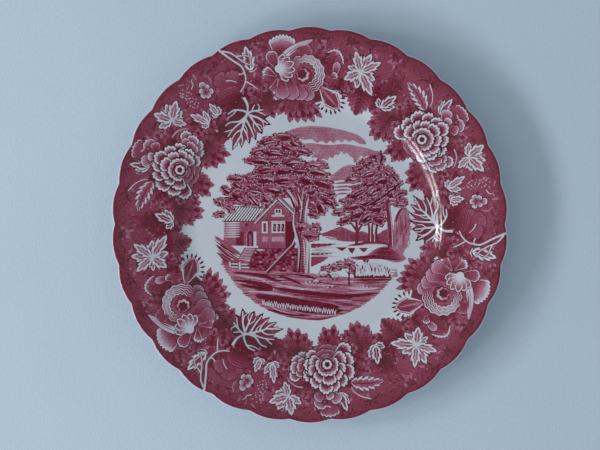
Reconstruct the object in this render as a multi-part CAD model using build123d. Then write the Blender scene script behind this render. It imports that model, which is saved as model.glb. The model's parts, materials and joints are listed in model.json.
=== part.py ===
"""Round transfer-printed dinner plate, drawn as it is made: a fired earthenware body, thin ink
prints lying in its surface, and one clear glaze coat in a face half and a back half.

Units are millimetres. The origin is the centre of the foot ring's resting plane and +Z is up.
"""
import os
from math import asin, cos, degrees, hypot, radians, sin, sqrt

from build123d import *

# Driving dimensions
DIAMETER = 254.0          # across two opposite lobes of the scalloped edge
LOBES = 30                # scallops round the edge
LOBE_RADIUS = 36.0        # plan radius of one scallop
VALLEY_RADIUS = 6.0       # plan radius of the hollow between two scallops
WALL = 4.8                # body and glaze together, under the well and the cove
EDGE_WALL = 3.7           # the same, at the rim's edge
EDGE_ROUND = 1.6          # rounding of the rim's edge, top and bottom
GLAZE = 0.3               # thickness of the glaze coat
PRINT = 0.15              # depth of the ink in the body's surface

# The face, from the centre out: flat well, hollow cove, rounded shoulder, rising rim
WELL_RADIUS = 72.0
COVE_RADIUS = 20.0
COVE_SLOPE = 36.0         # steepest slope, in degrees, where cove meets shoulder
SHOULDER_RADIUS = 16.0
RIM_SLOPE = 12.0          # slope where the rim begins
RIM_RADIUS = 300.0        # the rim's own gentle upward curve
TRIM_RADIUS = 132.0       # the profile runs past the edge and is trimmed to the scallops

# Foot ring
FOOT_HEIGHT = 3.0         # the underside of the well stands this far off the table
FOOT_INSIDE = 75.4        # radii of the dry face that touches the table
FOOT_OUTSIDE = 78.6
FOOT_DRAFT = 0.9          # how far each wall leans out over the foot's height
FOOT_CORNER = 0.6
FOOT_ROOT = 1.8
BARE_FOOT = 0.7           # the glaze is wiped off up to this height

# Prints
SECTIONS = 3              # the border is laid in three equal sheets
BORDER_START = 108.0      # angle where the first sheet begins, over a hollow of the edge
PRINT_MARGIN = 1.0        # bare strip between the border print and the edge
PRINT_GAP = 0.25          # hairline between neighbouring sheets
CENTRE_PRINT_RADIUS = 63.5
BAND_INSIDE = 84.0        # inner edge of the border print between its leaves
LEAF_TIPS = (             # angle from the sheet's start, radius of the tip, half width in degrees
    (14.0, 66.0, 11.0),
    (36.0, 67.0, 9.0),
    (54.0, 66.0, 11.0),
    (70.0, 73.0, 8.0),
    (84.0, 75.0, 8.0),
    (102.0, 66.0, 12.0),
)

# Back mark: a plain ring and a leaf sprig, with no lettering
MARK_RING_RADIUS = 11.0
MARK_RING_WIDTH = 0.8
MARK_LEAVES = 6
MARK_LEAF_LENGTH = 7.5
MARK_LEAF_WIDTH = 2.6

# Three small bare spots under the rim, where the kiln's stilts held the plate
STILT_MARKS = 3
STILT_MARK_RADIUS = 108.0
STILT_MARK_SIZE = 0.9

WELL_TOP = FOOT_HEIGHT + WALL
TALL = 60.0               # taller than the plate, for trimming solids
TOUCH = 1e-4              # points closer than this are the same point


def near(vertex, point):
    """Whether a sketch's vertex lies at a point."""
    return (Vector(vertex.X, vertex.Y) - point).length < TOUCH


def point_at(radius, angle):
    """Plan point at a radius and an angle in degrees."""
    return Vector(radius * cos(radians(angle)), radius * sin(radians(angle)))


def face_centres():
    """Profile centres of the cove, shoulder and rim arcs, as (r, z)."""
    steep, shallow = radians(COVE_SLOPE), radians(RIM_SLOPE)
    cove = Vector(WELL_RADIUS, WELL_TOP + COVE_RADIUS)
    reach = COVE_RADIUS + SHOULDER_RADIUS
    shoulder = cove + Vector(reach * sin(steep), -reach * cos(steep))
    rise = SHOULDER_RADIUS + RIM_RADIUS
    rim = shoulder + Vector(-rise * sin(shallow), rise * cos(shallow))
    return cove, shoulder, rim


def on_arc(centre, radius, slope, hollow=True):
    """Point where a hollow (or rounded) profile arc has a slope given in degrees."""
    side = 1 if hollow else -1
    return centre + Vector(side * radius * sin(radians(slope)), -side * radius * cos(radians(slope)))


def rim_end(centre, radius):
    """Slope of a rim arc where it reaches the trim radius."""
    return degrees(asin((TRIM_RADIUS - centre.X) / radius))


def surface_line(depth):
    """The face's profile moved down into the wall by depth, from the centre outwards."""
    cove, shoulder, rim = face_centres()
    r_cove, r_shoulder, r_rim = COVE_RADIUS + depth, SHOULDER_RADIUS - depth, RIM_RADIUS + depth
    start = Vector(0, WELL_TOP - depth)
    well_end = on_arc(cove, r_cove, 0)
    steep_point = on_arc(cove, r_cove, COVE_SLOPE)
    rim_start = on_arc(shoulder, r_shoulder, RIM_SLOPE, hollow=False)
    last = rim_end(rim, r_rim)
    return [
        Line(start, well_end),
        ThreePointArc(well_end, on_arc(cove, r_cove, COVE_SLOPE / 2), steep_point),
        ThreePointArc(
            steep_point,
            on_arc(shoulder, r_shoulder, (COVE_SLOPE + RIM_SLOPE) / 2, hollow=False),
            rim_start,
        ),
        ThreePointArc(
            rim_start,
            on_arc(rim, r_rim, (RIM_SLOPE + last) / 2),
            on_arc(rim, r_rim, last),
        ),
    ]


def underside_rim(inset):
    """Centre and radius of the rim's underside arc: it thins the wall towards the edge."""
    _, shoulder, rim = face_centres()
    start = on_arc(shoulder, SHOULDER_RADIUS - WALL, RIM_SLOPE, hollow=False)
    edge_slope = rim_end(rim, RIM_RADIUS)
    end = on_arc(rim, RIM_RADIUS + EDGE_WALL, edge_slope)
    inward = Vector(-sin(radians(RIM_SLOPE)), cos(radians(RIM_SLOPE)))
    chord = end - start
    radius = chord.dot(chord) / (2 * inward.dot(chord))
    return start + inward * radius, radius - inset


def plate_section(inset):
    """Half section of the plate in the XZ plane, its glazed surfaces moved in by inset."""
    cove, shoulder, _ = face_centres()
    top = surface_line(inset)
    rim_centre, rim_radius = underside_rim(inset)
    r_shoulder = SHOULDER_RADIUS - WALL + inset
    r_cove = COVE_RADIUS + WALL - inset
    last = rim_end(rim_centre, rim_radius)
    outer_low = on_arc(rim_centre, rim_radius, last)
    rim_root = on_arc(shoulder, r_shoulder, RIM_SLOPE, hollow=False)
    steep_point = on_arc(shoulder, r_shoulder, COVE_SLOPE, hollow=False)
    foot_out = FOOT_OUTSIDE - inset
    foot_in = FOOT_INSIDE + inset
    out_top_r = foot_out + FOOT_DRAFT
    out_top = Vector(out_top_r, cove.Y - sqrt(r_cove**2 - (out_top_r - cove.X) ** 2))
    ceiling = FOOT_HEIGHT + inset
    in_top = Vector(foot_in - FOOT_DRAFT, ceiling)
    meet_slope = degrees(asin((out_top.X - cove.X) / r_cove))
    with BuildSketch() as section:
        with BuildLine():
            for edge in top:
                add(edge)
            Line(top[-1] @ 1, outer_low)
            ThreePointArc(
                outer_low,
                on_arc(rim_centre, rim_radius, (last + RIM_SLOPE) / 2),
                rim_root,
            )
            ThreePointArc(
                rim_root,
                on_arc(shoulder, r_shoulder, (COVE_SLOPE + RIM_SLOPE) / 2, hollow=False),
                steep_point,
            )
            ThreePointArc(
                steep_point,
                on_arc(cove, r_cove, (COVE_SLOPE + meet_slope) / 2),
                out_top,
            )
            Line(out_top, Vector(foot_out, 0))
            Line(Vector(foot_out, 0), Vector(foot_in, 0))
            Line(Vector(foot_in, 0), in_top)
            Line(in_top, Vector(0, ceiling))
            Line(Vector(0, ceiling), Vector(0, WELL_TOP - inset))
        make_face()
        roots = [v for v in section.vertices() if near(v, out_top) or near(v, in_top)]
        fillet(roots, FOOT_ROOT + inset)
        feet = [v for v in section.vertices() if abs(v.Y) < TOUCH]
        fillet(feet, FOOT_CORNER)
    return section.sketch


def spin(section):
    """Revolves a half section, drawn in XY as (r, z), about the Z axis."""
    return revolve(Plane.XZ * section, Axis.Z, 360)


def lobe_points(inset):
    """The scallop's centres and radii once the outline is moved in by inset."""
    half = 180 / LOBES
    c = DIAMETER / 2 - LOBE_RADIUS
    reach = LOBE_RADIUS + VALLEY_RADIUS
    f = c * cos(radians(half)) + sqrt(reach**2 - (c * sin(radians(half))) ** 2)
    return half, c, f, LOBE_RADIUS - inset, VALLEY_RADIUS + inset


def scallops(inset, first, count):
    """Edges of a run of scallops from the bottom of one hollow to that of another.

    first is the angle of the hollow where the run begins; it turns anticlockwise.
    """
    half, c, f, lobe, valley = lobe_points(inset)
    edges = []
    for k in range(count):
        start = first + 2 * half * k
        middle, end = start + half, start + 2 * half
        centre = point_at(c, middle)
        before, after = point_at(f, start), point_at(f, end)
        joint_a = centre + (before - centre).normalized() * lobe
        joint_b = centre + (after - centre).normalized() * lobe
        low_a, low_b = point_at(f - valley, start), point_at(f - valley, end)
        quarter_a = before + ((low_a - before) + (joint_a - before)).normalized() * valley
        quarter_b = after + ((low_b - after) + (joint_b - after)).normalized() * valley
        edges += [
            ThreePointArc(low_a, quarter_a, joint_a),
            ThreePointArc(joint_a, point_at(c + lobe, middle), joint_b),
            ThreePointArc(joint_b, quarter_b, low_b),
        ]
    return edges


def scalloped_prism(inset):
    """Upright prism inside the scalloped outline."""
    outline = make_face(Wire(scallops(inset, 0, LOBES)))
    return extrude(outline, TALL)


def plate_solid(inset):
    """The plate with its surfaces moved in by inset, trimmed to the scallops and rounded."""
    blank = spin(plate_section(inset)) & scalloped_prism(inset)
    rim_edges = [
        e for e in blank.edges()
        if min(hypot(*tuple(e @ t)[:2]) for t in (0, 0.5, 1)) > DIAMETER / 2 - 3
        and abs((e @ 0).Z - (e @ 1).Z) < 1.0
    ]
    return fillet(rim_edges, EDGE_ROUND - inset)


def above_middle():
    """Everything above the wall's middle surface, which parts the glaze at the edge's crest."""
    middle = surface_line(WALL / 2)
    tip = middle[-1] @ 1
    crest = Vector(tip.X, tip.Y + (WALL - EDGE_WALL) / 2)
    with BuildSketch() as region:
        with BuildLine():
            for edge in middle[:-1]:
                add(edge)
            Line(middle[-1] @ 0, crest)
            Line(crest, Vector(tip.X, TALL))
            Line(Vector(tip.X, TALL), Vector(0, TALL))
            Line(Vector(0, TALL), middle[0] @ 0)
        make_face()
    return spin(region.sketch)


def ink_layer():
    """The layer of the face, just under the glaze, that holds the prints."""
    top, bottom = surface_line(GLAZE), surface_line(GLAZE + PRINT)
    with BuildSketch() as layer:
        with BuildLine():
            for edge in top + bottom:
                add(edge)
            Line(top[0] @ 0, bottom[0] @ 0)
            Line(top[-1] @ 1, bottom[-1] @ 1)
        make_face()
    return spin(layer.sketch)


def border_outline(index):
    """Plan outline of one border sheet: scallops outside, leaf-shaped lobes inside."""
    sweep = 360 / SECTIONS
    start = BORDER_START + index * sweep
    outer = scallops(GLAZE + PRINT_MARGIN, start, LOBES // SECTIONS)
    inner_points = [point_at(BAND_INSIDE, start)]
    for angle, tip, half_width in LEAF_TIPS:
        shoulder = (BAND_INSIDE + tip) / 2 - 2
        inner_points += [
            point_at(BAND_INSIDE, start + angle - half_width),
            point_at(shoulder, start + angle - 0.7 * half_width),
            point_at(tip, start + angle),
            point_at(shoulder, start + angle + 0.7 * half_width),
        ]
    inner_points.append(point_at(BAND_INSIDE, start + sweep))
    edges = outer + [
        Line(outer[0] @ 0, inner_points[0]),
        *(Line(a, b) for a, b in zip(inner_points, inner_points[1:])),
        Line(inner_points[-1], outer[-1] @ 1),
    ]
    return make_face(Wire(edges))


def gap_blades():
    """Thin upright blades that keep neighbouring border sheets a hairline apart."""
    blades = []
    for k in range(SECTIONS):
        angle = BORDER_START + k * 360 / SECTIONS
        blade = Box(DIAMETER, PRINT_GAP, TALL, align=(Align.MIN, Align.CENTER, Align.MIN))
        blades.append(Rot(0, 0, angle) * blade)
    return blades


def back_mark():
    """Ring and sprig of leaves printed on the underside of the well, inside the foot."""
    with BuildSketch() as mark:
        Circle(MARK_RING_RADIUS)
        Circle(MARK_RING_RADIUS - MARK_RING_WIDTH, mode=Mode.SUBTRACT)
        with PolarLocations(MARK_LEAF_LENGTH / 2 + 1, MARK_LEAVES):
            Ellipse(MARK_LEAF_LENGTH / 2, MARK_LEAF_WIDTH / 2)
    return extrude(Pos(0, 0, FOOT_HEIGHT + GLAZE) * mark.sketch, PRINT)


def stilt_pits():
    """Cones that bite the three bare spots out of the back glaze."""
    rim_centre, rim_radius = underside_rim(0)
    offset = STILT_MARK_RADIUS - rim_centre.X
    height = rim_centre.Y - sqrt(rim_radius**2 - offset**2)
    pit = Cylinder(STILT_MARK_SIZE, 2 * WALL / 3)
    return [
        Rot(0, 0, k * 360 / STILT_MARKS + 30) * Pos(STILT_MARK_RADIUS, 0, height) * pit
        for k in range(STILT_MARKS)
    ]


def solids_of(shape):
    """A compound of the solids in a boolean result, with no loose faces."""
    return Compound(children=list(shape.solids()))


def write(name, shape):
    export_step(solids_of(shape), f"parts/{name}.step")
    print(f"{name}: {shape.volume / 1000:.2f} cm3, {len(shape.solids())} solid(s)")


def main():
    os.makedirs("parts", exist_ok=True)
    glazed = plate_solid(0)
    biscuit = plate_solid(GLAZE)

    ink = ink_layer()
    blades = gap_blades()
    prints = {}
    for k in range(SECTIONS):
        sheet = ink & extrude(border_outline(k), TALL)
        prints[f"border_print_{k + 1}"] = sheet - blades
    well_disc = Cylinder(CENTRE_PRINT_RADIUS, TALL, align=(Align.CENTER, Align.CENTER, Align.MIN))
    prints["centre_print"] = ink & well_disc
    prints["back_mark"] = back_mark()

    body = biscuit - list(prints.values())
    wiped = Pos(0, 0, BARE_FOOT) * Box(
        2 * TRIM_RADIUS, 2 * TRIM_RADIUS, TALL, align=(Align.CENTER, Align.CENTER, Align.MIN)
    )
    coat = (glazed - biscuit) & wiped
    upper = above_middle()
    face_glaze = coat & upper
    back_glaze = coat - upper - stilt_pits()

    write("body", body)
    write("face_glaze", face_glaze)
    write("back_glaze", back_glaze)
    for name, shape in prints.items():
        write(name, shape)


main()
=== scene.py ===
"""Looks of the transfer-printed plate: the glaze, and the ink of its border and centre pictures.

The printed pictures are drawn flat as stacks of inked shapes in millimetres, cut into one mesh of
triangles, and laid on the plate's face. Where no shape lies, the mesh is open and the china shows;
a bare shape stays in the mesh with no ink on it.
"""
import json
import random
from math import atan2, cos, degrees, hypot, pi, radians, sin, sqrt

import bpy
import numpy as np
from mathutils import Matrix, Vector
from mathutils.geometry import delaunay_2d_cdt

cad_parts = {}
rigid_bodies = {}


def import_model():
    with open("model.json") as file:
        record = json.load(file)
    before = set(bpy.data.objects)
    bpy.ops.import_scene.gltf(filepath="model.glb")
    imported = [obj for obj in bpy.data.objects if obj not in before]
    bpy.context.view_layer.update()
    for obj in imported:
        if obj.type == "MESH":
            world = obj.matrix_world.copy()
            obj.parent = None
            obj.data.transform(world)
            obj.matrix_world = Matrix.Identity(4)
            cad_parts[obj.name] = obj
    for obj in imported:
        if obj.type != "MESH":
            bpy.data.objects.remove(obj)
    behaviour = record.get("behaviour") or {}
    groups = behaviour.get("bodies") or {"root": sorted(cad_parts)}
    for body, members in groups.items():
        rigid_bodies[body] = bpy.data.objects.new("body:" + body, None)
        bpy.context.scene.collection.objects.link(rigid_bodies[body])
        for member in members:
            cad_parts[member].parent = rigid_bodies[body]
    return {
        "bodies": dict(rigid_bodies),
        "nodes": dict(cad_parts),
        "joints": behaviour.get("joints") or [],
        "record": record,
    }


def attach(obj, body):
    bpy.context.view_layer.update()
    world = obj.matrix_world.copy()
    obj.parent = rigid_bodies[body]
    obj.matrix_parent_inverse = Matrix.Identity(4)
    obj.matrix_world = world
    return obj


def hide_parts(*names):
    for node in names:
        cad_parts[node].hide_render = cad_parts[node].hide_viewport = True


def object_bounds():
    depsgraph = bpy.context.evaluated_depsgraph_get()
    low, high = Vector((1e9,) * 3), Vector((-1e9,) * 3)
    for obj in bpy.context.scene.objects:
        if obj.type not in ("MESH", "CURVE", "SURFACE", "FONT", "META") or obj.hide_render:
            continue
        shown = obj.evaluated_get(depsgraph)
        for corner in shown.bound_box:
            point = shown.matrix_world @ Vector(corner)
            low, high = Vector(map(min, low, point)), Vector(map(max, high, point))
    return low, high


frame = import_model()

CAD_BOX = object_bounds()
MM = 0.001

# The plate's shape, in millimetres, as the CAD model has it
DIAMETER = 254.0
LOBES = 30
LOBE_RADIUS = 36.0
VALLEY_RADIUS = 6.0
WALL = 4.8
EDGE_WALL = 3.7
EDGE_ROUND = 1.6
WELL_RADIUS = 72.0
COVE_RADIUS = 20.0
COVE_SLOPE = radians(36.0)
SHOULDER_RADIUS = 16.0
RIM_SLOPE = radians(12.0)
RIM_RADIUS = 300.0
TRIM_RADIUS = 132.0
FOOT_HEIGHT = 3.0
FOOT_INSIDE = 75.4
FOOT_OUTSIDE = 78.6
FOOT_DRAFT = 0.9
BARE_FOOT = 0.7
WELL_TOP = FOOT_HEIGHT + WALL
SECTIONS = 3
SECTION = 360 / SECTIONS  # degrees that one border sheet covers
BORDER_START = 108.0
STILT_MARKS = 3
STILT_MARK_RADIUS = 108.0
STILT_MARK_SIZE = 0.9

FLUTE = 0.25             # how far each scallop of the rim is raised at its middle
FLUTE_FROM = 104.0       # the flutes fade out at this radius
INK_MARGIN = 0.75        # bare strip between the border ink and the edge
INK_LIFT = 0.05          # the ink lies this far over the china, clear of its facets

SHEET_INSIDE = 58.0      # a border sheet is cut from this radius outwards
CENTRE_SHEET = 67.0      # and the centre picture inside this one
MARK_RADIUS = 11.0       # ring of the mark under the well

# Seeds of the hand's unevenness in each picture
BORDER_SEED, CENTRE_SEED, MARK_SEED = 7, 11, 5

# Tones of ink, from bare china to the darkest line
BARE, PALE, LIGHT, MID, DEEP, DARK, BLACK = 0.0, 0.14, 0.3, 0.5, 0.68, 0.84, 1.0


# ---- The plate's surfaces, in millimetres ----

COVE = np.array((WELL_RADIUS, WELL_TOP + COVE_RADIUS))
SHOULDER = COVE + (COVE_RADIUS + SHOULDER_RADIUS) * np.array((sin(COVE_SLOPE), -cos(COVE_SLOPE)))
RIM = SHOULDER + (SHOULDER_RADIUS + RIM_RADIUS) * np.array((-sin(RIM_SLOPE), cos(RIM_SLOPE)))
STEEP_R = WELL_RADIUS + COVE_RADIUS * sin(COVE_SLOPE)
RIM_R = SHOULDER[0] - SHOULDER_RADIUS * sin(RIM_SLOPE)


def underside_rim():
    """Centre and radius of the arc under the rim."""
    start = SHOULDER + (SHOULDER_RADIUS - WALL) * np.array((-sin(RIM_SLOPE), cos(RIM_SLOPE)))
    edge = np.arcsin((TRIM_RADIUS - RIM[0]) / RIM_RADIUS)
    end = RIM + (RIM_RADIUS + EDGE_WALL) * np.array((sin(edge), -cos(edge)))
    inward = np.array((-sin(RIM_SLOPE), cos(RIM_SLOPE)))
    chord = end - start
    radius = chord.dot(chord) / (2 * inward.dot(chord))
    return start + inward * radius, radius


UNDER, UNDER_RADIUS = underside_rim()


def outline_radius(angle):
    """Distance from the axis to the scalloped edge, at angles in radians."""
    pitch = 2 * pi / LOBES
    c = DIAMETER / 2 - LOBE_RADIUS
    reach = LOBE_RADIUS + VALLEY_RADIUS
    f = c * cos(pitch / 2) + sqrt(reach**2 - (c * sin(pitch / 2)) ** 2)
    lobe = np.array((c * cos(pitch / 2), c * sin(pitch / 2)))
    joint = lobe + (np.array((f, 0)) - lobe) * LOBE_RADIUS / reach
    turn = np.mod(angle, pitch)
    off = np.minimum(turn, pitch - turn)
    far = pitch / 2 - off
    crest = c * np.cos(far) + np.sqrt(LOBE_RADIUS**2 - (c * np.sin(far)) ** 2)
    deep = np.maximum(VALLEY_RADIUS**2 - (f * np.sin(off)) ** 2, 0)
    hollow = f * np.cos(off) - np.sqrt(deep)
    return np.where(off < atan2(joint[1], joint[0]), hollow, crest)


def flute(angle, radius):
    """Rise of the moulded flutes that run in from the scallops."""
    wave = np.sin(np.mod(angle, 2 * pi / LOBES) * LOBES / 2) ** 2
    t = np.clip((radius - FLUTE_FROM) / (DIAMETER / 2 - FLUTE_FROM), 0, 1)
    return FLUTE * wave * t * t * (3 - 2 * t)


def face_profile(r):
    """Height of the face at radii from the axis, without flutes or the rounded edge."""
    cove = COVE[1] - np.sqrt(np.maximum(COVE_RADIUS**2 - (r - COVE[0]) ** 2, 0))
    shoulder = SHOULDER[1] + np.sqrt(np.maximum(SHOULDER_RADIUS**2 - (r - SHOULDER[0]) ** 2, 0))
    rim = RIM[1] - np.sqrt(RIM_RADIUS**2 - (r - RIM[0]) ** 2)
    return np.select((r <= WELL_RADIUS, r <= STEEP_R, r <= RIM_R), (WELL_TOP + 0 * r, cove, shoulder), rim)


def edge_round(outline):
    """Centre of the edge's upper rounding, and the slope of the face there."""
    r = outline - EDGE_ROUND
    arm = RIM_RADIUS + EDGE_ROUND
    return r, RIM[1] - np.sqrt(arm**2 - (r - RIM[0]) ** 2), np.arcsin((r - RIM[0]) / arm)


def face_height(x, y):
    """Height of the face at plan points."""
    r, angle = np.hypot(x, y), np.arctan2(y, x)
    centre_r, centre_z, slope = edge_round(outline_radius(angle))
    rounding = centre_z + np.sqrt(np.maximum(EDGE_ROUND**2 - (r - centre_r) ** 2, 0))
    on_edge = r > centre_r - EDGE_ROUND * np.sin(slope)
    return np.where(on_edge, rounding, face_profile(r)) + flute(angle, r)


# ---- Drawing: ink shapes on the plan ----

def at(angle, radius):
    """Plan point at an angle in degrees from the sheet's start and a radius in mm."""
    return np.array((radius * cos(radians(angle)), radius * sin(radians(angle))))


def ring(*pairs):
    """Plan points from (angle, radius) pairs."""
    return np.array([at(a, r) for a, r in pairs])


def curve(points, steps=5, closed=False):
    """Catmull-Rom curve through points."""
    p = np.asarray(points, float)
    if len(p) < 3 and not closed:
        return p
    ends = (p[-1:], p[:2]) if closed else (2 * p[:1] - p[1:2], 2 * p[-1:] - p[-2:-1])
    q = np.vstack((ends[0], p, ends[1]))
    t = np.linspace(0, 1, steps, endpoint=False)[:, None]
    runs = []
    for k in range(len(q) - 3):
        a, b, c, d = q[k:k + 4]
        runs.append(0.5 * (2 * b + (c - a) * t + (2 * a - 5 * b + 4 * c - d) * t**2
                           + (3 * b - a - 3 * c + d) * t**3))
    line = np.vstack(runs)
    return line if closed else np.vstack((line, p[-1:]))


def normals(line):
    """Unit normals to the left of a line's points."""
    run = np.gradient(line, axis=0)
    run /= np.maximum(np.linalg.norm(run, axis=1, keepdims=True), 1e-9)
    return np.stack((-run[:, 1], run[:, 0]), axis=1)


class Frame:
    """A local frame on the plan: x along base to tip, y to its left."""

    def __init__(self, base, tip):
        self.base = np.asarray(base, float)
        self.run = np.asarray(tip, float) - self.base
        self.length = float(np.hypot(*self.run))
        self.along = self.run / self.length
        self.left = np.array((-self.along[1], self.along[0]))

    def put(self, points):
        p = np.atleast_2d(points)
        return self.base + p[:, :1] * self.along + p[:, 1:] * self.left


class Art:
    """A stack of inked shapes: a later one covers an earlier one."""

    def __init__(self, seed):
        self.shapes = []
        self.rng = random.Random(seed)

    def fill(self, points, tone, to=None, start=None, end=None):
        """A shape of one tone, or of a tone that runs to another between two points."""
        p = np.asarray(points, float)
        area = np.sum(p[:, 0] * np.roll(p[:, 1], -1) - np.roll(p[:, 0], -1) * p[:, 1])
        if area < 0:
            p = p[::-1]
        self.shapes.append((p, tone, tone if to is None else to, start, end))

    def stroke(self, points, width, tone, end=0.35, steps=4):
        """A pen line that thins from its start to end times its width."""
        line = curve(points, steps)
        t = np.linspace(0, 1, len(line))[:, None]
        half = width / 2 * (1 - t * (1 - end))
        side = normals(line) * half
        self.fill(np.vstack((line + side, (line - side)[::-1])), tone)

    def swell(self, points, width, tone, steps=4):
        """A pen line that is pointed at both ends."""
        line = curve(points, steps)
        t = np.linspace(0, 1, len(line))[:, None]
        side = normals(line) * (width / 2 * np.sin(np.pi * t) ** 0.7)
        self.fill(np.vstack((line + side, (line - side)[::-1])), tone)

    def blob(self, points, steps, *tones):
        """A shape with a rounded outline through points; gives that outline."""
        line = curve(np.array(points), steps, closed=True)
        self.fill(line, *tones)
        return line

    def edged_blob(self, line, grow, dark, *tones):
        """An outline, grown a little and dark, and then itself."""
        centre = line.mean(axis=0)
        self.fill(centre + (line - centre) * grow, dark)
        self.fill(line, *tones)

    def dot(self, centre, size, tone, sides):
        turn = self.rng.uniform(0, 6)
        spokes = [(cos(turn + 2 * pi * k / sides), sin(turn + 2 * pi * k / sides)) for k in range(sides)]
        self.fill(np.asarray(centre) + size / 2 * np.array(spokes), tone)


def petal_outline(frame, width, frills, depth, grow=0, length=1, droop=0.2):
    """A fan-shaped petal with a frilled outer edge."""
    w = width / 2 + grow
    reach = frame.length * length + grow
    n = max(frills, 1) * 4
    points = [(-grow * 0.4, 0.10 * w), (0.25 * reach, 0.42 * w), (0.55 * reach, 0.82 * w)]
    for k in range(n + 1):
        s = 1 - 2 * k / n
        crown = reach * (1 - droop * s * s) - 0.02 * reach
        bump = depth * abs(sin(pi * frills * (s + 1) / 2)) if frills else 0
        y = w * s * (1 if abs(s) < 0.99 else 0.98)
        points.append((crown - depth + bump, y))
    points += [(0.55 * reach, -0.82 * w), (0.25 * reach, -0.42 * w), (-grow * 0.4, -0.10 * w)]
    return frame.put(points)


def edged(art, frame, width, frills, depth, line, dark, light, **style):
    """A petal's dark outline and its field."""
    art.fill(petal_outline(frame, width, frills, depth, grow=line, **style), dark)
    art.fill(petal_outline(frame, width, frills, depth, **style), light)


def petal(art, base, tip, width, frills=4, depth=0.7, rim=BARE, root=DEEP, lip=MID, rays=4,
          line=0.55, cover=0.35, edge=0.75):
    """A petal: dark outline, a pale frilled rim that melts into pink, and a darker root."""
    f = Frame(base, tip)
    edged(art, f, width, frills, depth, line, BLACK - 0.02, rim)
    reach = f.length - 0.7 * edge
    fade = max(reach - 1.9, 0.45 * f.length)
    melt = petal_outline(f, width - 1.1 * edge, frills, depth, length=reach / f.length)
    art.fill(melt, lip, rim + 0.02, f.put((fade, 0))[0], f.put((reach - 0.2, 0))[0])
    field = petal_outline(f, width - 1.1 * edge - 1.3, frills, depth * 0.7, length=fade / f.length)
    art.fill(field, root, lip, f.put((cover * f.length, 0))[0], f.put((fade, 0))[0])
    for k in range(rays):
        s = (k + 0.5) / rays * 2 - 1
        far = fade + 1.3 * art.rng.random()
        a, b = f.put(((cover * f.length, s * width * 0.20), (far, s * width * 0.38)))
        art.swell((a, b), 0.42, DARK if k % 2 else DEEP + 0.1)


def fan(art, base, tip, width, lobes, sweep):
    """A fan of rounded lobes: white edges, pink fields, and a pale glow at their shared base."""
    f = Frame(base, tip)
    turns = np.linspace(-sweep / 2, sweep / 2, lobes)
    for turn in sorted(turns, key=lambda v: -abs(v)):
        way = f.along * cos(radians(turn)) + f.left * sin(radians(turn))
        end = f.base + way * f.length * (1 - 0.12 * abs(turn) / max(sweep / 2, 1))
        g = Frame(f.base, end)
        edged(art, g, width, 1, 0.2, 0.45, BLACK - 0.04, BARE, droop=0.34)
        inner = petal_outline(g, width - 1.3, 1, 0.2, length=1 - 0.8 / g.length, droop=0.34)
        art.fill(inner, BARE, MID + 0.1, g.put((0.3 * g.length, 0))[0], g.put((0.85 * g.length, 0))[0])
        for s in (-0.22, 0, 0.22):
            art.swell(g.put(((0.42 * g.length, s * width * 0.7),
                             (0.86 * g.length, s * width * 1.1))), 0.34, DARK)


def toothed(frame, width, teeth, bend, depth, grow=0, fat=0.45):
    """Outline of a toothed leaf and the tips of its teeth."""
    length = frame.length

    def spot(t, side, out):
        half = width / 2 * (sin(pi * min(t, 1) ** (0.55 + fat * 0.4)) ** 0.8) if t < 1 else 0
        return (t * length, side * (half * out + (grow if t < 1 else 0)) + bend * sin(pi * t) * length)

    outline, tips = [spot(0, 0, 0)], []
    for side in (1, -1):
        run = []
        for k in range(teeth):
            t0, t1 = (k + 0.25) / teeth, (k + 0.95) / teeth
            run.append(spot(t0, side, 1 - depth))
            run.append(spot((t0 + t1) / 2, side, 1))
            if k < teeth - 1:
                tip = spot(t1, side, 1 + depth * 0.6)
                tip = (tip[0] + 0.25 * length / teeth, tip[1])
                run.append(tip)
                run.append(spot(t1 + 0.02, side, 1 - depth * 0.6))
                tips.append((tip, run[-1], run[-3]))
        if side == 1:
            outline += run + [(length + grow, bend * 0)]
        else:
            outline += run[::-1]
    tips.append(((length + grow, 0), spot(0.93, 1, 0.7), spot(0.93, -1, 0.7)))
    return frame.put(outline), [frame.put(t) for t in tips]


def leaf(art, base, tip, width, teeth=5, bend=0, depth=0.22, body=MID - 0.06, root=DARK - 0.06,
         vein=BLACK - 0.02,
         edge=DARK, points=BLACK, fat=0.45):
    """A toothed leaf, darkest at its root, with dark veins, mottling and near-black tooth tips."""
    f = Frame(base, tip)
    outline, _ = toothed(f, width, teeth, bend, depth, grow=0.28, fat=fat)
    art.fill(outline, edge)
    outline, tips = toothed(f, width, teeth, bend, depth, fat=fat)
    art.fill(outline, root, body, f.put((0.15 * f.length, 0))[0], f.put((0.8 * f.length, 0))[0])
    if points:
        for t in tips:
            art.fill((t[0], 0.5 * t[0] + 0.5 * t[1], 0.5 * t[0] + 0.5 * t[2]), points)

    def mid(t):
        return np.array((t * f.length, bend * sin(pi * t) * f.length))

    for k in range(teeth - 1):
        t = (k + 0.4) / teeth
        half = width / 2 * sin(pi * min(t + 0.16, 1) ** 0.73) ** 0.8
        for side in (1, -1):
            a = mid(t)
            b = mid(min(t + 0.2, 0.98)) + (0, side * half * 0.82)
            c = mid(min(t + 0.26, 0.98)) + (0, side * half * 0.34)
            art.swell(f.put((a, (a + c) / 2, c)), 0.1 * f.length, DEEP + 0.02 + 0.08 * art.rng.random())
            art.stroke(f.put((a, (a + b) / 2 + (0.02 * f.length, 0), b)), 0.6, vein, end=0.3, steps=3)
            art.swell(f.put(((a + b) / 2 + (0.7, 0), b + (0.6, 0))), 0.5, LIGHT)
    art.stroke(f.put([mid(t) for t in (0, 0.33, 0.66, 0.95)]), 0.8, vein, end=0.25, steps=3)


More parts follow.
